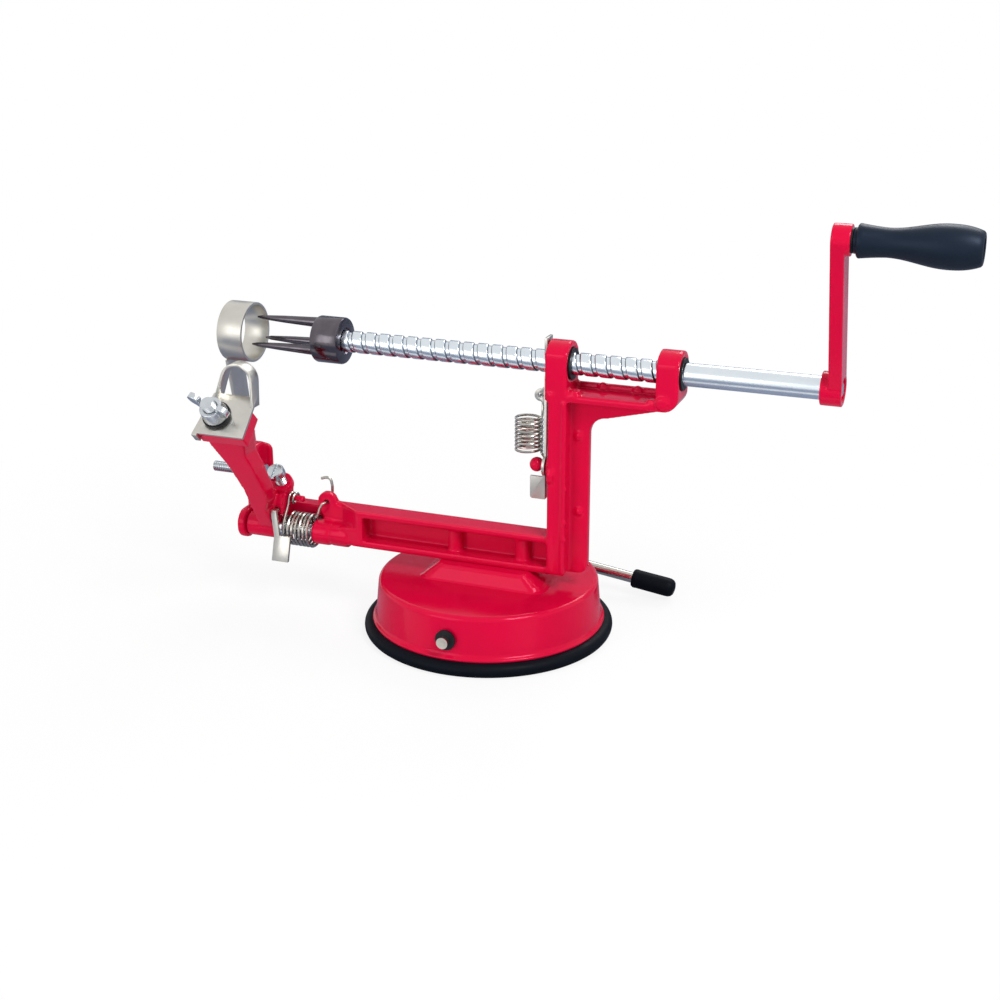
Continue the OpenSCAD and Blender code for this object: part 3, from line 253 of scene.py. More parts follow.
# Injection-moulded plastic of the grip: a spark-eroded texture that spreads a bluish sheen.
GRIP_PLASTIC = Finish("textured_black_plastic", "grip_plastic", "#0e151f", "#141d29",
                      roughness=0.42, spread=0.06, cloud=9.0, grain=0.7, depth=0.06, gloss=0.22,
                      tint="#b9cdf0")
# Black oxide on spring steel: a thin dark skin through which a little metal shines.
BLACK_OXIDE = Finish("black_oxide_steel", "black_oxide", "#0d0e12", "#191a1f", roughness=0.42,
                     spread=0.08, cloud=2.0, grain=0.5, depth=0.02, metallic=0.2, gloss=0.3)


class Blank:
    """A piece in work: one bmesh in millimetres."""

    def __init__(self) -> None:
        """Start with an empty mesh."""
        self.bm = bmesh.new()

    @classmethod
    def from_node(cls, name: str) -> Blank:
        """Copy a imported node's mesh and weld its loose triangles.

        Args:
            name: Node to copy.

        Returns:
            The copy, in millimetres.
        """
        blank = cls()
        blank.bm.from_mesh(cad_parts[name].data)
        bmesh.ops.scale(blank.bm, vec=Vector((1, 1, 1)) / MM, verts=blank.bm.verts)
        return blank.weld(WELD)

    @classmethod
    def from_object(cls, obj: Object) -> Blank:
        """Take an object's evaluated mesh and remove the object.

        Args:
            obj: Scratch object in millimetres, linked to the scene.

        Returns:
            A blank with that mesh.
        """
        blank = cls()
        shown = obj.evaluated_get(bpy.context.evaluated_depsgraph_get())
        mesh = bpy.data.meshes.new_from_object(shown)
        blank.bm.from_mesh(mesh)
        bpy.data.meshes.remove(mesh)
        bpy.data.objects.remove(obj)
        return blank

    @classmethod
    def turned(cls, profile: Profile, steps: int) -> Blank:
        """Turn a profile about Z.

        Args:
            profile: Radius and height of each point, from axis to axis or round a closed section.
            steps: Steps of a full turn.

        Returns:
            The turned piece.
        """
        blank = cls()
        blank.spin([(r, 0, h) for r, h in profile], steps)
        return blank.closed()

    @classmethod
    def threaded(cls, profile: Profile, pitch: float, low: float, high: float, phase: float,
                 steps: int) -> Blank:
        """Wind one pitch of a thread's profile round Z, right-handed, and cut its ends square.

        Args:
            profile: Height and radius over one pitch, ending a pitch above its start.
            pitch: Rise of one turn.
            low: Lower end.
            high: Upper end.
            phase: Height at which the profile starts on the X side.
            steps: Steps of one turn.

        Returns:
            The closed threaded rod.
        """
        blank = cls()
        first = phase - pitch * (ceil((phase - low) / pitch) + 1)
        turns = ceil((high - first) / pitch) + 1
        blank.spin([(r, 0, first + h) for h, r in profile], steps, turns, pitch)
        blank.weld(WELD)
        for height, side in ((low, -1), (high, 1)):
            geom = blank.bm.verts[:] + blank.bm.edges[:] + blank.bm.faces[:]
            bmesh.ops.bisect_plane(blank.bm, geom=geom, plane_co=(0, 0, height),
                                   plane_no=(0, 0, side), clear_outer=True)
        rims = [e for e in blank.bm.edges if e.is_boundary]
        bmesh.ops.holes_fill(blank.bm, edges=rims, sides=0)
        return blank.closed()

    @classmethod
    def block(cls, low: Point, high: Point) -> Blank:
        """Make a box between two corners.

        Args:
            low: Lowest corner.
            high: Highest corner.

        Returns:
            The box.
        """
        blank = cls()
        size = Vector(high) - Vector(low)
        bmesh.ops.create_cube(blank.bm, size=1)
        bmesh.ops.scale(blank.bm, vec=size, verts=blank.bm.verts)
        bmesh.ops.translate(blank.bm, vec=Vector(low) + size / 2, verts=blank.bm.verts)
        return blank

    @classmethod
    def ball(cls, centre: Point, r: float) -> Blank:
        """Make a small ball.

        Args:
            centre: Its centre.
            r: Its radius.

        Returns:
            The ball.
        """
        blank = cls()
        bmesh.ops.create_uvsphere(blank.bm, u_segments=20, v_segments=12, radius=r,
                                  matrix=Matrix.Translation(centre))
        return blank

    @classmethod
    def rod(cls, start: Point, end: Point, r: float, r_end: float | None = None,
            sides: int = 32) -> Blank:
        """Make a round or tapered rod between two points.

        Args:
            start: Centre of its first end.
            end: Centre of its second end.
            r: Radius at the start.
            r_end: Radius at the end, the same as at the start if left out.
            sides: Sides of its section.

        Returns:
            The rod.
        """
        blank = cls()
        along = Vector(end) - Vector(start)
        place = Matrix.Translation((Vector(start) + Vector(end)) / 2)
        place @= along.to_track_quat("Z", "Y").to_matrix().to_4x4()
        bmesh.ops.create_cone(blank.bm, cap_ends=True, segments=sides, radius1=r,
                              radius2=r if r_end is None else r_end, depth=along.length,
                              matrix=place)
        return blank

    @classmethod
    def wire(cls, route: Route, d: float) -> Blank:
        """Bend a round wire along a smooth route.

        Args:
            route: Points that the wire's middle goes through.
            d: Diameter of the wire.

        Returns:
            The closed wire.
        """
        curve = bpy.data.curves.new("route", "CURVE")
        curve.dimensions = "3D"
        curve.bevel_depth = d / 2
        curve.bevel_resolution = WIRE_SIDES
        curve.resolution_u = WIRE_FINE
        curve.use_fill_caps = True
        spline = curve.splines.new("BEZIER")
        spline.bezier_points.add(len(route) - 1)
        for knot, point in zip(spline.bezier_points, route):
            knot.co = point
            knot.handle_left_type = knot.handle_right_type = "AUTO"
        return cls.from_object(link_new("route", curve)).closed()

    def spin(self, line: Route, steps: int, turns: int = 1, pitch: float = 0.0) -> None:
        """Draw a line and spin it about Z.

        Args:
            line: Points of the line.
            steps: Steps of one turn.
            turns: Number of turns.
            pitch: Rise of one turn; without a rise, the last step joins the first.
        """
        verts = [self.bm.verts.new(point) for point in line]
        edges = [self.bm.edges.new(pair) for pair in zip(verts, verts[1:])]
        bmesh.ops.spin(self.bm, geom=verts + edges, cent=(0, 0, 0), axis=(0, 0, 1),
                       dvec=(0, 0, pitch / steps), angle=FULL_TURN * turns, steps=steps * turns,
                       use_merge=pitch == 0)

    def weld(self, gap: float) -> Blank:
        """Merge points that lie within a gap."""
        bmesh.ops.remove_doubles(self.bm, verts=self.bm.verts, dist=gap)
        return self

    def closed(self) -> Blank:
        """Weld doubles and point every face outwards."""
        self.weld(WELD_FINE)
        bmesh.ops.recalc_face_normals(self.bm, faces=self.bm.faces)
        return self

    def rise(self, height: float, grow: Pair) -> None:
        """Extrude the top face up Z and scale it.

        Args:
            height: How far the new face stands above the old one.
            grow: Scale of the new face in X and Y.
        """
        self.bm.faces.ensure_lookup_table()
        top = max(self.bm.faces, key=lambda face: face.calc_center_median().z)
        made = bmesh.ops.extrude_face_region(self.bm, geom=[top])["geom"]
        verts = [item for item in made if isinstance(item, bmesh.types.BMVert)]
        bmesh.ops.translate(self.bm, vec=(0, 0, height), verts=verts)
        bmesh.ops.scale(self.bm, vec=(*grow, 1), verts=verts)

    def put(self, place: Matrix) -> Blank:
        """Move the piece by a matrix."""
        bmesh.ops.transform(self.bm, matrix=place, verts=self.bm.verts)
        return self

    def lay(self, at: Point) -> Blank:
        """Lay a piece made up Z along X, at a point."""
        return self.put(Matrix.Translation(at) @ Matrix.Rotation(radians(90), 4, "Y"))

    def join(self, *others: Blank) -> Blank:
        """Take in other pieces.

        Args:
            *others: Pieces to take in, freed afterwards.

        Returns:
            This piece.
        """
        for other in others:
            mesh = bpy.data.meshes.new("join")
            other.bm.to_mesh(mesh)
            self.bm.from_mesh(mesh)
            bpy.data.meshes.remove(mesh)
            other.bm.free()
        return self

    def give(self, name: str) -> Object:
        """Give the mesh as it is to a new object in the scene, and free it here.

        Args:
            name: Name of the object.

        Returns:
            The object.
        """
        mesh = bpy.data.meshes.new(name)
        self.bm.to_mesh(mesh)
        self.bm.free()
        return link_new(name, mesh)

    def cast(self, voxel: float, relax: int) -> Blank:
        """Fuse the piece as one casting with soft edges.

        Args:
            voxel: Size of the voxels that it is fused in.
            relax: Rounds of smoothing.

        Returns:
            The casting.
        """
        obj = self.give("scratch")
        fuse = obj.modifiers.new("fuse", "REMESH")
        fuse.mode = "VOXEL"
        fuse.voxel_size = voxel
        soft = obj.modifiers.new("soft", "SMOOTH")
        soft.factor = 0.5
        soft.iterations = relax
        return Blank.from_object(obj)

    def carve(self, tool: Blank) -> Blank:
        """Cut a tool's shape out of the piece.

        Args:
            tool: What is cut away.

        Returns:
            The cut piece.
        """
        obj = self.give("scratch")
        cutter = tool.give("scratch")
        cut = obj.modifiers.new("cut", "BOOLEAN")
        cut.operation = "DIFFERENCE"
        cut.solver = "EXACT"
        cut.object = cutter
        made = Blank.from_object(obj)
        bpy.data.objects.remove(cutter)
        return made

    def soften(self, width: float) -> Blank:
        """Round every sharp edge.

        Args:
            width: How far the rounding reaches from the edge.

        Returns:
            This piece.
        """
        bmesh.ops.dissolve_limit(self.bm, angle_limit=radians(FLAT), verts=self.bm.verts,
                                 edges=self.bm.edges)
        edges = [e for e in self.bm.edges
                 if e.is_manifold and e.calc_face_angle() > radians(SHARP)]
        bmesh.ops.bevel(self.bm, geom=edges, offset=width, offset_type="OFFSET", segments=2,
                        profile=0.5, affect="EDGES", material=-1, clamp_overlap=True)
        return self

    def piece(self, name: str) -> Object:
        """Finish the piece as an object in metres, shaded smooth up to the crease angle.

        Args:
            name: Name of the object.

        Returns:
            The new object, at the origin.
        """
        bmesh.ops.scale(self.bm, vec=(MM, MM, MM), verts=self.bm.verts)
        for face in self.bm.faces:
            face.smooth = True
        for edge in self.bm.edges:
            edge.smooth = edge.is_manifold and edge.calc_face_angle() < radians(CREASE)
        return self.give(name)


def fit_piece(blank: Blank, name: str, finish: Finish, node: str,
              body: Body | None = None) -> Object:
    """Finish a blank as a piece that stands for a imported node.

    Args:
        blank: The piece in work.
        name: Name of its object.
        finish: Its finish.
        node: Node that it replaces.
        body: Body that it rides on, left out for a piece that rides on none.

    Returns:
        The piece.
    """
    obj = blank.piece(name)
    obj.data.materials.append(finish.material())
    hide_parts(node)
    if body:
        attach(obj, body.value)
    LOG.info("%s: %d faces, %s", obj.name, len(obj.data.polygons), finish.name)
    return obj


def soften_node(node: str, width: float, name: str, finish: Finish, body: Body) -> None:
    """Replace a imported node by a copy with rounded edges.

    Args:
        node: The node.
        width: How far the rounding reaches.
        name: Name of the new piece.
        finish: Its finish.
        body: Body that it rides on.
    """
    fit_piece(Blank.from_node(node).soften(width), name, finish, node, body)


def keep_nodes(finish: Finish, *names: str) -> None:
    """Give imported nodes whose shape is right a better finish.

    Args:
        finish: The finish.
        *names: The nodes.
    """
    for name in names:
        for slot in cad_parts[name].material_slots:
            slot.material = finish.material()
        LOG.info("%s: kept, %s", name, finish.name)


def screw_thread(r: float, depth: float, low: float, high: float) -> Blank:
    """Wind a fastener's thread up Z.

    Args:
        r: Radius over the thread.
        depth: Depth of the thread as a share of its pitch.
        low: Lower end.
        high: Upper end.

    Returns:
        The threaded rod.
    """
    pitch, root = SCREW_PITCH, r - depth * SCREW_PITCH
    ridge = [(0, root), *((at * pitch, r) for at in THREAD_CREST), (pitch, root)]
    return Blank.threaded(ridge, pitch, low, high, phase=0, steps=24)


def slotted_screw(r: float, length: float, head_r: float, head_h: float) -> Blank:
    """Make a cheese-head screw with a slot, its tip at the origin and its head up Z.

    Args:
        r: Radius over the thread.
        length: Length under the head.
        head_r: Radius of the head.
        head_h: Height of the head.

    Returns:
        The screw.
    """
    depth, edge, slot, reach = 0.55, 0.12 * head_r, 0.5, 2 * head_r
    corner = 0.6 * edge
    top = length + head_h
    thread = screw_thread(r, depth, 0, length + head_h / 4)
    head = Blank.turned([(0, length), (head_r - edge, length), (head_r, length + edge),
                         (head_r, top - 2 * edge), (head_r - corner, top - corner),
                         (head_r - 2 * edge, top), (0, top)], steps=40)
    return thread.join(head.carve(Blank.block((-slot, -reach, top - 2 * slot),
                                              (slot, reach, top + BITE))))


@dataclass
class SuctionBase:
    """Pressed housing with its saddle, the rubber pad, and the lever that works it."""

    housing_r: float = 40.5
    foot_r: float = 41.7
    flange_r: float = 42.9
    flange_z: float = 5.0
    top_z: float = 21.1
    shoulder: float = 1.9
    sheet: float = 1.0
    # Foot of the housing: out from foot_r, then from flange_r, and up from flange_z.
    foot_curve: Profile = ((-0.15, 2.6), (0.1, 1.7), (0.6, 1.25))
    rim_curve: Profile = ((-0.3, 1.05), (-0.05, 0.75), (0.0, 0.45), (-0.15, 0.1), (-0.5, 0.0))
    saddle_x: float = 1.0
    saddle_half: float = 17.35
    saddle_side: float = 10.2
    saddle_corner: float = 3.4
    saddle_sink: float = 0.3
    # Height of each step of the saddle, and how far it stands out beyond saddle_half and
    # saddle_side; the heights of the upper steps are from the deck.
    flare_foot: Route = ((0.0, 8.2, 4.0), (0.35, 7.0, 2.9), (0.9, 6.0, 2.3), (2.0, 4.9, 1.8))
    flare_deck: Route = ((-1.2, 1.4, 0.75), (-0.35, 0.55, 0.3), (0.1, 0.1, 0.0), (0.3, -0.6, -0.6))
    room_wall: float = 1.5
    deck_z: float = 27.0
    pad_r: float = 46.0
    pad_middle: float = 3.0
    pad_step: float = 1.0
    round_steps: int = 160
    axle_z: float = 12.4
    rod_r: float = 2.1
    rod_play: float = 0.1
    drop: float = 7.6
    tip_x: float = 42.0
    tip_y: float = 47.7
    tip_len: float = 17.0
    tip_r: float = 3.7
    tip_dimple: float = 0.3
    # Mouth and end of the sleeve: out from tip_r, and along from 0 or from tip_len.
    mouth_curve: Profile = ((-1.3, 0.0), (-0.5, 0.2), (-0.1, 0.8), (0.0, 1.6), (-0.12, 2.3),
                            (-0.1, 3.0))
    end_curve: Profile = ((-0.05, -3.0), (-0.15, -1.9), (-0.55, -0.9), (-1.3, -0.25), (-2.2, 0.0))

    def build(self) -> None:
        """Make and dress every piece of the base."""
        fit_piece(self.housing(), "housing", RED_ENAMEL, "base_housing", Body.FRAME)
        fit_piece(self.pad(), "pad", BLACK_RUBBER, "suction_pad", Body.FRAME)
        fit_piece(self.tip(), "lever_sleeve", BLACK_RUBBER, "lever_tip", Body.LEVER)
        keep_nodes(NICKEL_ROD, "suction_lever")
        keep_nodes(BRIGHT_ZINC, "suction_cam", "suction_stem")
        keep_nodes(BLACK_OXIDE, "lever_clip")

    def housing(self) -> Blank:
        """Turn the pressed dish, raise its saddle and bore it for the axle.

        Returns:
            The housing.
        """
        knee, ring = self.top_z - self.shoulder, self.housing_r - self.shoulder
        outer = arc(ring, knee, self.shoulder, range(90, -1, -ROUND_STEP))
        inner = arc(ring, knee, self.shoulder - self.sheet, range(0, 91, ROUND_STEP))
        skirt = shifted(self.foot_curve, self.foot_r, self.flange_z)
        skirt += shifted(self.rim_curve, self.flange_r, self.flange_z)
        skirt.append((self.foot_r - self.sheet, self.flange_z))
        dish = Blank.turned([(0, self.top_z), *outer, *skirt, *inner, (0, self.top_z - self.sheet)],
                            self.round_steps)
        axle = Blank.rod((0, -self.pad_r, self.axle_z), (0, self.pad_r, self.axle_z),
                         self.rod_r + self.rod_play)
        dish = dish.carve(axle).carve(self.stem_room())
        return dish.join(self.saddle().carve(self.stem_room()))

    def stem_room(self) -> Blank:
        """Make the room under the saddle that the stem rises into.

        Returns:
            A block inside the saddle, open to the dish.
        """
        half, side = self.saddle_half - self.room_wall, self.saddle_side - self.room_wall
        return Blank.block((self.saddle_x - half, -side, self.top_z - 2 * self.sheet),
                           (self.saddle_x + half, side, self.deck_z - self.sheet))

    def saddle(self) -> Blank:
        """Raise the saddle out of a rounded outline, in steps that flare at its foot.

        Returns:
            The saddle.
        """
        half, side = self.saddle_half - self.saddle_corner, self.saddle_side - self.saddle_corner
        outline = []
        for first, x, y in ((0, half, side), (90, -half, side), (180, -half, -side),
                            (270, half, -side)):
            outline += arc(x, y, self.saddle_corner, range(first, first + 91, ROUND_STEP))
        blank = Blank()
        blank.bm.faces.new([blank.bm.verts.new((x, y, 0)) for x, y in outline])
        high = self.deck_z - self.top_z
        steps = [*self.flare_foot, *((high + z, long, wide) for z, long, wide in self.flare_deck)]
        before = (0.0, 0.0, 0.0)
        for step in steps:
            grow = ((self.saddle_half + step[1]) / (self.saddle_half + before[1]),
                    (self.saddle_side + step[2]) / (self.saddle_side + before[2]))
            if step is steps[0]:
                bmesh.ops.scale(blank.bm, vec=(*grow, 1), verts=blank.bm.verts)
            else:
                blank.rise(step[0] - before[0], grow)
            before = step
        place = Matrix.Translation((self.saddle_x, 0, self.top_z - self.saddle_sink))
        return blank.closed().put(place)

    def pad(self) -> Blank:
        """Turn the pad with its round bead and thin middle.

        Returns:
            The pad.
        """
        bead = self.flange_z / 2
        edge = arc(self.pad_r - bead, bead, bead, range(-90, 91, ROUND_STEP))
        seat = self.foot_r - self.sheet - self.pad_step
        return Blank.turned([(0, 0), *edge, (seat, self.flange_z),
                             (seat - self.pad_step, self.pad_middle), (0, self.pad_middle)],
                            self.round_steps)

    def tip(self) -> Blank:
        """Turn the lever's rubber sleeve with its rolled mouth and round end.

        Returns:
            The sleeve.
        """
        side = shifted(self.mouth_curve, self.tip_r, 0)
        side += shifted(self.end_curve, self.tip_r, self.tip_len)
        sleeve = Blank.turned([(0, self.tip_dimple), *side, (0, self.tip_len)], steps=40)
        place = Matrix.Translation((0, 0, self.axle_z))
        place @= Matrix.Rotation(radians(self.drop), 4, "Y")
        return sleeve.lay((self.tip_x, self.tip_y, 0)).put(place)


@dataclass
class CastFrame:
    """Cast frame with its beam, column and bearing lugs."""

    voxel: float = 0.5
    relax: int = 5
    front_y: float = -6.85
    column_x: float = 24.7
    column_x1: float = 31.4
    web_x1: float = 38.3
    web_half: float = 1.6
    web_foot_r: float = 3.2
    shelf_z: float = 94.4
    deck_z: float = 27.0
    strip_proud: float = 0.6
    strip_wide: float = 1.8
    strip_slim: float = 1.3
    strip_gap: float = 3.0
    # Mould marks: stubs (x, y, height, radius at the foot and the top), dots (x, y, z, radius),
    # and drips on the column's edge (z).
    stubs: Table = ((33.7, -4.5, 1.6, 2.4, 2.1), (61.2, -5.0, 1.3, 2.0, 1.7))
    dots: Table = ((41.0, 4.85, 95.6, 1.5), (53.5, 4.85, 95.6, 1.5), (34.4, -1.6, 78.5, 1.3),
                   (35.0, -1.6, 50.5, 1.2), (65.3, -6.85, 95.0, 2.0))
    dot_sink: float = 0.5
    dot_proud: float = 0.8
    drips: tuple[float, ...] = (41.0, 47.5, 60.0)
    drip_r: float = 0.8
    boss: Point = (24.7, -3.9, 64.2)
    boss_depth: float = 2.4
    boss_r: Pair = (4.5, 4.3)

    def build(self) -> None:
        """Make and dress every piece of the frame."""
        fit_piece(self.casting(), "frame_body", RED_ENAMEL, "frame_casting", Body.FRAME)
        keep_nodes(BRIGHT_ZINC, "frame_screws", "arm_pivot_pin")
        keep_nodes(BLACK_NYLON, "shaft_bushes")

    def casting(self) -> Blank:
        """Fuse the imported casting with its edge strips, mould marks and boss.

        Returns:
            The casting.
        """
        added = [Blank.block((x0, self.front_y - self.strip_proud, self.deck_z + BITE),
                             (x1, self.front_y + BITE, z1))
                 for x0, x1, z1 in ((self.column_x, self.column_x + self.strip_wide, self.shelf_z),
                                    (self.column_x1 - self.strip_slim, self.column_x1,
                                     self.shelf_z - self.strip_gap))]
        added += [Blank.rod((x, y, self.shelf_z - BITE), (x, y, self.shelf_z + height), foot, top)
                  for x, y, height, foot, top in self.stubs]
        x, y, z = self.boss
        added.append(Blank.rod(self.boss, (x + self.boss_depth, y, z), *self.boss_r))
        added += [Blank.rod((x, y + self.dot_sink, z), (x, y - self.dot_proud, z), r)
                  for x, y, z, r in self.dots]
        added += [Blank.ball((self.column_x1, self.front_y, z), self.drip_r) for z in self.drips]
        body = Blank.from_node("frame_casting").carve(self.web_corner())
        return body.join(*added).cast(self.voxel, self.relax)

    def web_corner(self) -> Blank:
        """Make what is cut off the web's lower corner to round it.

        Returns:
            A block with a hollow corner.
        """
        x, z = self.web_x1 - self.web_foot_r, self.deck_z + self.web_foot_r
        wide = self.web_half + BITE
        block = Blank.block((x, -wide, self.deck_z - BITE), (self.web_x1 + BITE, wide, z))
        return block.carve(Blank.rod((x, -2 * wide, z), (x, 2 * wide, z), self.web_foot_r,
                                     sides=48))


@dataclass
class Feed:
    """Feed shaft with its fork, crank and grip."""

    axis_z: float = 104.1
    r: float = 3.97
    pitch: float = 5.4
    groove: float = 0.6
    groove_w: float = 2.0
    groove_slope: float = 0.45
    crest_curve: Profile = ((-0.08, -0.12), (0.1, -0.03), (0.35, 0.0))  # along, out
    wall_margin: float = 0.1
    wall_slope: Pair = (0.4, 0.99)  # share of a wall's normal that points along the shaft
    thread_x0: float = -55.3
    thread_x1: float = 71.7
    tooth_x: float = 22.5
    end_x: float = 124.4
    end_curve: Profile = ((0.0, -1.6), (-1.3, -1.6), (-1.7, -0.5), (-2.1, -0.3))  # from r, end_x
    spigot_len: float = 9.0
    spigot_r: float = 2.9
    hub_x: float = -66.0
    hub_r: float = 8.5
    hub_curve: Profile = ((-0.8, 0.0), (-0.25, 0.25), (0.0, 0.8))  # from hub_r and each end
    bore_curve: Profile = ((0.9, 0.0), (0.5, -0.5))  # from r and the hub's end
    tine_ring: float = 6.0
    tine_angles: tuple[int, ...] = (90, 210, 330)
    tine_seat: float = 0.5
    tine_r: float = 1.9
    tine_len: float = 25.5
    tine_taper: Profile = ((1.0, 0.0), (0.7, 0.55), (0.42, 0.9))  # shares of tine_r, tine_len
    tine_point: Pair = (0.3, -0.2)  # radius, and along from the tip
    rest: float = 18.0
    crank_len: float = 55.0
    crank_voxel: float = 0.3
    crank_relax: int = 6
    grip_x: float = 126.7
    grip_len: float = 38.5
    grip_r: float = 6.95
    grip_bore: float = 2.05
    grip_recess: float = 5.4
    recess_r: float = 4.0
    recess_curve: Profile = ((0.35, 0.0), (0.0, -0.3))  # from recess_r and grip_len
    neck: float = 0.9
    neck_r: float = 4.03
    neck_curve: Profile = ((-0.15, 0.0), (0.0, 0.2))  # from neck_r
    collar: float = 0.8
    collar_curve: Profile = ((-0.5, 0.15), (-0.1, 0.5))  # from the side's start and the neck
    stations: int = 30
    last_station: float = 0.985
    # Places along the grip and radii there, as shares of its length and of grip_r.
    waist_at: float = 0.26
    belly_at: float = 0.74
    waist: float = 0.655
    end: float = 0.745
    end_lip: Pair = (-0.3, -0.1)
    neck_bend: Pair = (0.3, 1.2)
    end_bend: float = 2.5

    def build(self) -> None:
        """Make and dress every piece that turns with the crank."""
        shaft = fit_piece(self.shaft(), "threaded_shaft", SHAFT_CHROME, "feed_shaft", Body.SHAFT)
        # The thread's walls get painted shade.
        self.paint_groove_shade(shaft)
        # The fork's darker chrome is a painted reflection.
        fit_piece(self.fork(), "fork", FORK_PAINTED_REFLECTION_CHROME, "apple_fork", Body.SHAFT)
        crank = Blank.from_node("crank_arm").cast(self.crank_voxel, self.crank_relax)
        fit_piece(crank, "crank", RED_ENAMEL, "crank_arm", Body.SHAFT)
        fit_piece(self.grip(), "grip", GRIP_PLASTIC, "crank_grip", Body.GRIP)
        keep_nodes(BRIGHT_ZINC, "grip_spindle")
        keep_nodes(BLACK_OXIDE, "grip_washer")

    def shaft(self) -> Blank:
        """Wind the feed thread and add the plain end of the shaft.

        Returns:
            The shaft.
        """
        root, half = self.r - self.groove, self.groove_w / 2
        far = self.pitch - half
        rise = [(half + along, self.r + out) for along, out in self.crest_curve]
        fall = [(far - along, self.r + out) for along, out in reversed(self.crest_curve)]
        profile = [(0, root), (half - self.groove_slope, root), *rise, (self.pitch / 2, self.r),
                   *fall, (far + self.groove_slope, root), (self.pitch, root)]
        phase = self.tooth_x + self.pitch / 2
        thread = Blank.threaded(profile, self.pitch, self.thread_x0, self.thread_x1, phase,
                                steps=36)
        runout = self.thread_x1 - self.groove
        face = shifted(self.end_curve, self.r, self.end_x)
        plain = Blank.turned([(0, runout), (root, runout), (self.r, self.thread_x1), *face,
                              (0, face[-1][1])], steps=48)
        spigot = Blank.rod((0, 0, self.thread_x0 - self.spigot_len), (0, 0, self.thread_x0 + BITE),
                           self.spigot_r)
        return thread.join(plain, spigot).lay((0, 0, self.axis_z))

    def paint_groove_shade(self, obj: Object) -> None:
        """Give the walls of the thread the darker chrome that paints shade into the grooves.

        Args:
            obj: The finished shaft.
        """
        obj.data.materials.append(GROOVE_PAINTED_SHADE_CHROME.material())
        least, most = self.wall_slope
        for face in obj.data.polygons:
            across = hypot(face.center.y, face.center.z - self.axis_z * MM) / MM
            wall = self.r - self.groove + self.wall_margin < across < self.r - self.wall_margin
            # Painted shade: the groove walls get the darker chrome.
            if wall and least < abs(face.normal.x) < most:
                face.material_index = 1

    def fork(self) -> Blank:
        """Turn the fork's hub and set its three tines.

        Returns:
            The fork.
        """
        length = self.thread_x0 - self.hub_x
        far = [(self.hub_r + out, length - up) for out, up in reversed(self.hub_curve)]
        bore = shifted(self.bore_curve, self.r, length)
        hub = Blank.turned([(0, 0), *shifted(self.hub_curve, self.hub_r, 0), *far, *bore,
                            (0, bore[-1][1])], steps=64)
        taper = [(self.tine_r * out, self.tine_len * up) for out, up in self.tine_taper]
        point, back = self.tine_point
        for angle in self.tine_angles:
            a = radians(angle)
            tine = Blank.turned([(0, 0), *taper, (point, self.tine_len + back),
                                 (0, self.tine_len)], steps=20)
            tine.put(Matrix.Rotation(pi, 4, "X"))
            place = (-self.tine_ring * sin(a), self.tine_ring * cos(a), self.tine_seat)
            hub.join(tine.put(Matrix.Translation(place)))
        return hub.lay((self.hub_x, 0, self.axis_z))

    def grip_radius(self, at: float) -> float:
        """Radius of the grip at a share of its length.

        Args:
            at: Share of the length, from the crank.

        Returns:
            Radius in millimetres.
        """
        if at < self.waist_at:
            before = self.waist_at - at
            share = self.waist + self.neck_bend[0] * before + self.neck_bend[1] * before ** 2
        elif at < self.belly_at:
            swell = cos(pi * (at - self.waist_at) / (self.belly_at - self.waist_at))
            share = (1 + self.waist) / 2 - (1 - self.waist) / 2 * swell
        else:
            past = (at - self.belly_at) / (1 - self.belly_at)
            share = 1 - (1 - self.end) * past ** self.end_bend
        return self.grip_r * share

    def grip(self) -> Blank:
        """Turn the waisted grip with its neck, collar and recessed end.

        Returns:
            The grip.
        """
        start = (self.neck + self.collar) / self.grip_len
        places = [start + (self.last_station - start) * k / self.stations
                  for k in range(self.stations + 1)]
        side = [(self.grip_radius(at), self.grip_len * at) for at in places]
        collar = shifted(self.collar_curve, side[0][0], self.neck)
        floor = self.grip_len - self.grip_recess
        profile = [(self.grip_bore, 0), *shifted(self.neck_curve, self.neck_r, 0),
                   (self.neck_r, self.neck), *collar, *side,
                   *shifted([self.end_lip], self.grip_radius(1.0), self.grip_len),
                   *shifted(self.recess_curve, self.recess_r, self.grip_len),
                   (self.recess_r, floor), (self.grip_bore, floor), (self.grip_bore, 0)]
        a = radians(self.rest)
        return Blank.turned(profile, steps=56).lay(
            (self.grip_x, -self.crank_len * sin(a),
             self.axis_z + self.crank_len * cos(a)))


@dataclass
class Release:
    """Release plate that locks the thread, and the spring that pulls it down."""

    edge: float = 0.14
    coil_x: float = 15.5
    coil_r: float = 4.7
    wire_d: float = 0.9
    turns: int = 9
    coil_z0: float = 70.4
    coil_z1: float = 83.4
    hook_x: float = 21.25
    hook: Profile = ((-3.9, 64.2), (-2.5, 63.9), (-0.3, 64.1), (1.0, 65.8), (1.1, 68.0))  # y, z
    lead: Point = (-0.6, -0.1, 69.8)  # from hook_x to the coil
    eye_x: float = 19.8
    eye: Profile = ((1.9, 85.2), (2.4, 90.0), (1.6, 91.6), (0.0, 91.6), (-1.9, 91.6))  # y, z

    def build(self) -> None:
        """Make and dress the plate and its spring."""
        soften_node("release_plate", self.edge, "release_latch", SATIN_NICKEL, Body.RELEASE)
        spring = fit_piece(self.spring(), "release_coil", SPRING_WIRE, "release_spring")
        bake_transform(spring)

    def spring(self) -> Blank:
        """Wind the extension spring with its two hooks.

        Returns:
            The spring.
        """
        route = [(self.hook_x, y, z) for y, z in self.hook]
        route.append((self.hook_x + self.lead[0], *self.lead[1:]))
        steps = COIL_STEPS * self.turns
        for k in range(steps + 1):
            a = FULL_TURN * k / COIL_STEPS
            route.append((self.coil_x + self.coil_r * cos(a), self.coil_r * sin(a),
                          self.coil_z0 + (self.coil_z1 - self.coil_z0) * k / steps))
        route += [(self.eye_x, y, z) for y, z in self.eye]
        return Blank.wire(route, self.wire_d)


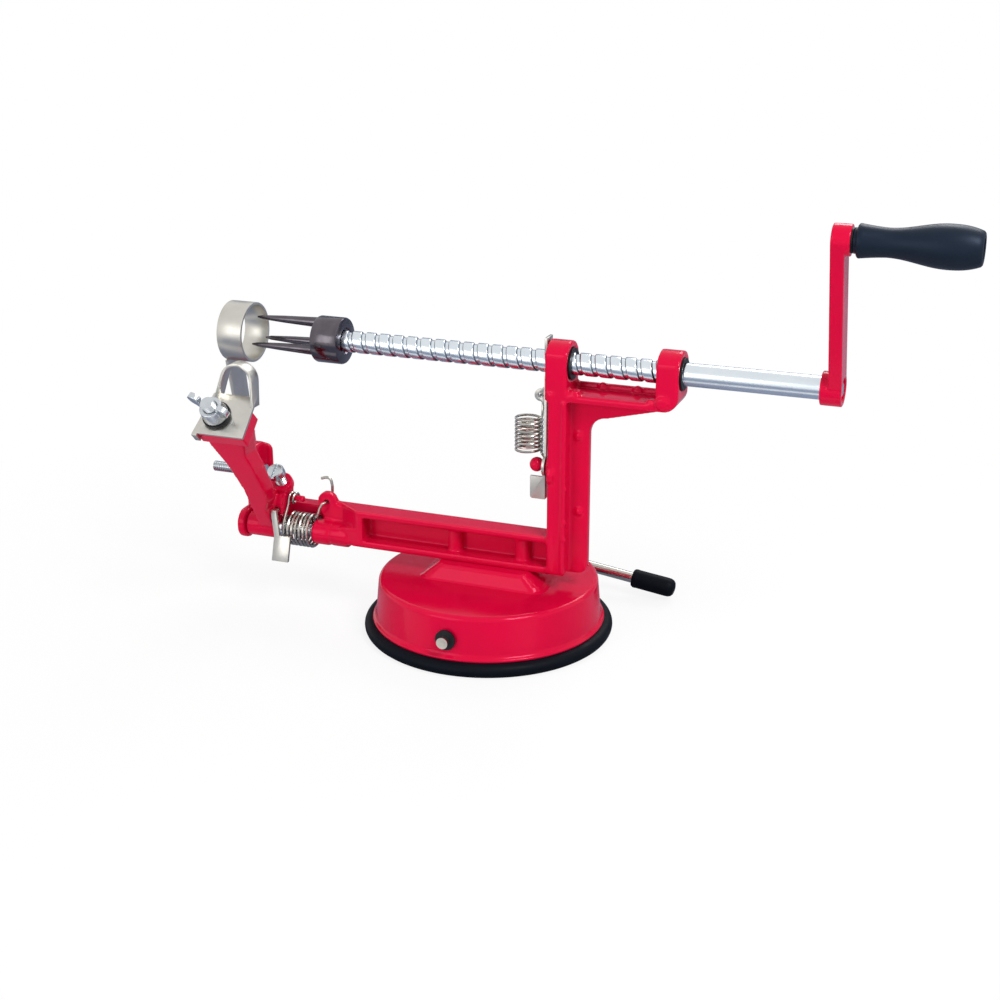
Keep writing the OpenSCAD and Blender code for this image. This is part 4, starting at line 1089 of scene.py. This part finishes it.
@dataclass
class PeelingArm:
    """Sprung arm with the peeling blade, its fasteners, the stop screw and the thumb plate."""

    arm_voxel: float = 0.35
    wing_voxel: float = 0.22
    relax: int = 6
    blade_edge: float = 0.2
    thumb_edge: float = 0.25
    pivot_y: float = -2.2
    pivot_z: float = 29.2
    seat: Point = (-86.8, -39.0, 83.0)
    slope: float = 45.0
    seat_t: float = 6.02
    way_r: float = 5.1
    way_len: float = 20.0
    bolt_r: float = 2.45
    bolt_depth: float = 0.5
    bolt_z: Pair = (-7.0, 10.5)
    bolt_head: Profile = ((0, -8), (3.9, -8), (4.35, -7.6), (4.35, -6.3), (4.1, -6.05), (0, -6.05))
    stop_tip: Point = (-83.2, 3.65, 39.95)
    stop_tilt: float = 38.0
    stop_r: float = 2.0
    stop_len: float = 14.0
    stop_head_r: float = 3.3
    stop_head_h: float = 3.2
    spring_r: float = 6.0
    spring_d: float = 1.1
    spring_x0: float = -79.95
    spring_x1: float = -69.15
    spring_steps: int = 108
    blend_in: float = 2.35
    peg_y: float = -1.0
    wrap_r: float = 1.85
    wrap_rise: float = 1.65
    leg: Profile = ((-3.55, 39.0), (-7.4, 34.0), (-8.2, 32.2))  # y, z
    lug_x: float = -65.1
    lug_z: float = 41.0
    lead: Point = (-67.0, -5.4, 36.4)
    # Tail of the spring through the lug and up behind it: x and z from the lug's hole.
    tail: Route = ((-0.8, -3.4, -0.4), (0.0, -2.4, 0.0), (0.0, 0.0, 0.0), (0.0, 3.0, 0.0),
                   (0.0, 3.9, 1.2), (0.0, 3.9, 6.4), (-0.6, 3.9, 7.6), (-1.8, 3.9, 8.0),
                   (-4.2, 3.9, 7.4))

    def build(self) -> None:
        """Make and dress every piece of the arm."""
        fit_piece(self.casting(), "swing_arm", RED_ENAMEL, "peeler_arm", Body.ARM)
        soften_node("peeler_blade", self.blade_edge, "blade_plate", SATIN_NICKEL, Body.ARM)
        fit_piece(self.bolt(), "blade_stud", BRIGHT_ZINC, "blade_bolt", Body.ARM)
        wing = Blank.from_node("wing_nut").cast(self.wing_voxel, self.relax)
        fit_piece(wing, "wing", BRIGHT_ZINC, "wing_nut", Body.WING)
        fit_piece(self.stop_screw(), "stop", BRIGHT_ZINC, "stop_screw", Body.ARM)
        soften_node("thumb_plate", self.thumb_edge, "thumb_paddle", SATIN_NICKEL, Body.ARM)
        keep_nodes(BLACK_NYLON, "blade_washer")
        keep_nodes(BRIGHT_ZINC, "arm_washer")
        spring = fit_piece(self.spring(), "arm_coil", SPRING_WIRE, "arm_spring")
        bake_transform(spring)

    def at_seat(self) -> Matrix:
        """Place of the blade's seat, its local Z out of the plate."""
        return Matrix.Translation(self.seat) @ Matrix.Rotation(radians(self.slope), 4, "X")

    def casting(self) -> Blank:
        """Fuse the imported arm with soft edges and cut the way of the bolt's head clean.

        Returns:
            The arm.
        """
        way = Blank.rod((0, 0, -self.seat_t - self.way_len), (0, 0, -self.seat_t), self.way_r,
                        sides=48).put(self.at_seat())
        return Blank.from_node("peeler_arm").cast(self.arm_voxel, self.relax).carve(way)

    def bolt(self) -> Blank:
        """Thread the blade's bolt and give it its head.

        Returns:
            The bolt.
        """
        thread = screw_thread(self.bolt_r, self.bolt_depth, *self.bolt_z)
        return thread.join(Blank.turned(self.bolt_head, steps=32)).put(self.at_seat())

    def stop_screw(self) -> Blank:
        """Make the slotted stop screw.

        Returns:
            The screw.
        """
        place = Matrix.Translation(self.stop_tip)
        place @= Matrix.Rotation(radians(self.stop_tilt), 4, "X")
        return slotted_screw(self.stop_r, self.stop_len, self.stop_head_r,
                             self.stop_head_h).put(place)

    def spring(self) -> Blank:
        """Wind the torsion spring, one end round the arm's peg and the other through a lug.

        Returns:
            The spring.
        """
        start, run = self.spring_x0, self.spring_x1 - self.spring_x0
        route = []
        for angle in range(-360, 181, 30):
            a = radians(angle)
            route.append((start + self.wrap_rise * (180 - angle) / 360,
                          self.peg_y + self.wrap_r * cos(a),
                          self.lug_z + self.wrap_r * sin(a)))
        route += [(start, y, z) for y, z in self.leg]
        for k in range(self.spring_steps + 1):
            a = radians(180 + 360 * k / COIL_STEPS)
            route.append((start + run * k / self.spring_steps,
                          self.pivot_y + self.spring_r * cos(a),
                          self.pivot_z + self.spring_r * sin(a)))
        route.append(self.lead)
        route += [(self.lug_x + x, y, self.lug_z + z) for x, y, z in self.tail]
        return Blank.wire(route, self.spring_d)


@dataclass
class Slicer:
    """Slicing and coring blade on the frame's post, with its bolt and nut."""

    blade_edge: float = 0.18
    nut_edge: float = 0.3
    bolt_y: float = 7.4
    bolt_z: float = 46.6
    bolt_x0: float = -117.3
    bolt_r: float = 2.0
    head_x0: float = -97.3
    head_r: float = 3.2
    head_h: float = 2.6

    def build(self) -> None:
        """Make and dress the blade and its fasteners."""
        soften_node("slicer_blade", self.blade_edge, "corer", SATIN_NICKEL, Body.FRAME)
        screw = slotted_screw(self.bolt_r, self.head_x0 - self.bolt_x0, self.head_r, self.head_h)
        screw.lay((self.bolt_x0, self.bolt_y, self.bolt_z))
        fit_piece(screw, "slicer_screw", BRIGHT_ZINC, "slicer_bolt", Body.FRAME)
        soften_node("slicer_nut", self.nut_edge, "slicer_hex", BRIGHT_ZINC, Body.FRAME)


@dataclass(frozen=True)
class Lamp:
    """A soft square lamp: its place and side in metres, and whether gloss shows the lamp itself."""

    name: str
    at: Point
    side: float
    watts: float
    mirrored: bool = True

    def hang(self, target: Vector) -> None:
        """Hang the lamp so that it faces a point.

        Args:
            target: The point, in metres.
        """
        data = bpy.data.lights.new(self.name, "AREA")
        data.shape = "SQUARE"
        data.size = self.side
        data.energy = self.watts
        lamp = link_new(self.name, data)
        lamp.location = self.at
        lamp.visible_glossy = self.mirrored
        lamp.rotation_euler = (Vector(self.at) - target).to_track_quat("Z", "Y").to_euler()


@dataclass
class Studio:
    """Camera at the photograph's angle, soft lamps, white surroundings, a pale floor and cards."""

    target: Point = (4.51, 0.0, 50.46)
    distance: float = 590.75
    azimuth: float = 20.69
    elevation: float = 20.04
    focal_px: float = 1633.44
    sensor: float = 36.0
    clip_end: float = 50.0
    lamps: tuple[Lamp, ...] = (Lamp("key", (0.55, -0.35, 0.75), 0.35, 6.0),
                               Lamp("fill", (-0.45, -1.0, 0.35), 0.6, 3.2, mirrored=False),
                               Lamp("gleam", (-0.44, -0.98, 0.35), 0.6, 2.2),
                               Lamp("rim", (0.1, 0.8, 0.7), 0.5, 4.0))
    world_light: float = 0.5
    world_seen: float = 1.0
    floor_half: float = 6.0
    floor_grey: float = 0.8
    shadow_reach: Pair = (0.08, 0.3)  # metres from the middle over which the shadow fades out
    shadow_white: Pair = (0.85, 1.0)  # share of white in the floor over that reach
    card_grey: str = "#8b93a6"
    cards: tuple[tuple[str, Point, Point], ...] = (
        ("front_card", (-0.35, -0.405, 0.0003), (0.35, -0.1, 0.0006)),
        ("under_card", (-0.4, -0.055, 0.0003), (0.6, 0.6, 0.0006)),
        ("back_card", (-0.5, 0.6, 0.0003), (0.7, 0.6003, 0.45)))

    def build(self) -> None:
        """Set up the camera, the light, the floor and the cards."""
        scene = bpy.context.scene
        scene.view_settings.view_transform = "Standard"
        scene.camera = self.camera()
        self.surroundings(scene)
        for lamp in self.lamps:
            lamp.hang(Vector(self.target) * MM)
        self.floor()
        for name, low, high in self.cards:
            self.grey_card(name, low, high)

    def camera(self) -> Object:
        """Place the camera.

        Returns:
            The camera.
        """
        data = bpy.data.cameras.new("camera")
        data.sensor_fit = "HORIZONTAL"
        data.sensor_width = self.sensor
        data.lens = self.focal_px * self.sensor / PHOTO_PX
        data.clip_end = self.clip_end
        camera = link_new("camera", data)
        a, e = radians(self.azimuth), radians(self.elevation)
        back = Vector((sin(a) * cos(e), -cos(a) * cos(e), sin(e)))
        camera.location = (Vector(self.target) + back * self.distance) * MM
        camera.rotation_euler = back.to_track_quat("Z", "Y").to_euler()
        return camera

    def seen_rays(self, tree: NodeTree) -> bpy.types.NodeSocket:
        """Tell rays that show a surface, straight or through gloss or glass, from light.

        Args:
            tree: Tree that gets the nodes.

        Returns:
            A socket that is 1 for rays that show it.
        """
        rays = add_node(tree, "ShaderNodeLightPath", {})
        seen = rays.outputs["Is Camera Ray"]
        for kind in ("Is Glossy Ray", "Is Transmission Ray"):
            seen = add_node(tree, "ShaderNodeMath", {"0": seen, "1": rays.outputs[kind]},
                            operation="MAXIMUM").outputs[0]
        return seen

    def surroundings(self, scene: bpy.types.Scene) -> None:
        """Make the world white where it is seen or mirrored, and softer as light.

        Args:
            scene: Scene that gets the world.
        """
        world = bpy.data.worlds.new("studio")
        scene.world = world
        world.use_nodes = True
        tree = world.node_tree
        level = add_node(tree, "ShaderNodeMapRange",
                         {"Value": self.seen_rays(tree), "To Min": self.world_light,
                          "To Max": self.world_seen})
        ground = tree.nodes["Background"]
        ground.inputs["Color"].default_value = WHITE
        tree.links.new(level.outputs["Result"], ground.inputs["Strength"])

    def bare_paint(self, obj: Object, name: str) -> NodeTree:
        """Give an object a new material with nothing but an output.

        Args:
            obj: The object.
            name: Name of the material.

        Returns:
            The material's tree.
        """
        paint = bpy.data.materials.new(name)
        paint.use_nodes = True
        tree = paint.node_tree
        tree.nodes.remove(tree.nodes["Principled BSDF"])
        obj.data.materials.append(paint)
        return tree

    def floor(self) -> None:
        """Lay the pale floor, seen as white but for the shadow, and all white further out."""
        plan = Blank()
        bmesh.ops.create_grid(plan.bm, x_segments=1, y_segments=1, size=self.floor_half)
        floor = plan.give("floor")
        tree = self.bare_paint(floor, "pale_floor")
        grey = self.floor_grey
        matt = add_node(tree, "ShaderNodeBsdfDiffuse", {"Color": (grey, grey, grey, 1)})
        glow = add_node(tree, "ShaderNodeEmission", {"Color": WHITE, "Strength": 1.0})
        place = add_node(tree, "ShaderNodeTexCoord", {})
        away = add_node(tree, "ShaderNodeVectorMath", {"0": place.outputs["Object"]},
                        operation="LENGTH")
        near, far = self.shadow_reach
        least, most = self.shadow_white
        fade = add_node(tree, "ShaderNodeMapRange",
                        {"Value": away.outputs["Value"], "From Min": near, "From Max": far,
                         "To Min": least, "To Max": most})
        share = add_node(tree, "ShaderNodeMath",
                         {"0": self.seen_rays(tree), "1": fade.outputs["Result"]},
                         operation="MULTIPLY")
        blend = add_node(tree, "ShaderNodeMixShader",
                         {"0": share.outputs[0], "1": matt.outputs[0], "2": glow.outputs[0]})
        tree.links.new(blend.outputs[0], tree.nodes["Material Output"].inputs["Surface"])

    def grey_card(self, name: str, low: Point, high: Point) -> None:
        """Set up a grey card that only gloss shows, so that metal and enamel get their dark side.

        Args:
            name: Name of the card.
            low: Its lowest corner in metres.
            high: Its highest corner in metres.
        """
        card = Blank.block(low, high).give(name)
        card.visible_camera = card.visible_diffuse = False
        card.visible_shadow = card.visible_transmission = False
        tree = self.bare_paint(card, name)
        matt = add_node(tree, "ShaderNodeBsdfDiffuse", {"Color": linear(self.card_grey)})
        tree.links.new(matt.outputs[0], tree.nodes["Material Output"].inputs["Surface"])


def main() -> None:
    """Build the studio and the sub-assemblies in order."""
    logging.basicConfig(level=logging.INFO, format="%(message)s")
    for part in (Studio(), SuctionBase(), CastFrame(), Feed(), Release(), PeelingArm(), Slicer()):
        LOG.info("%s", type(part).__name__)
        part.build()


if __name__ == "__main__":
    main()
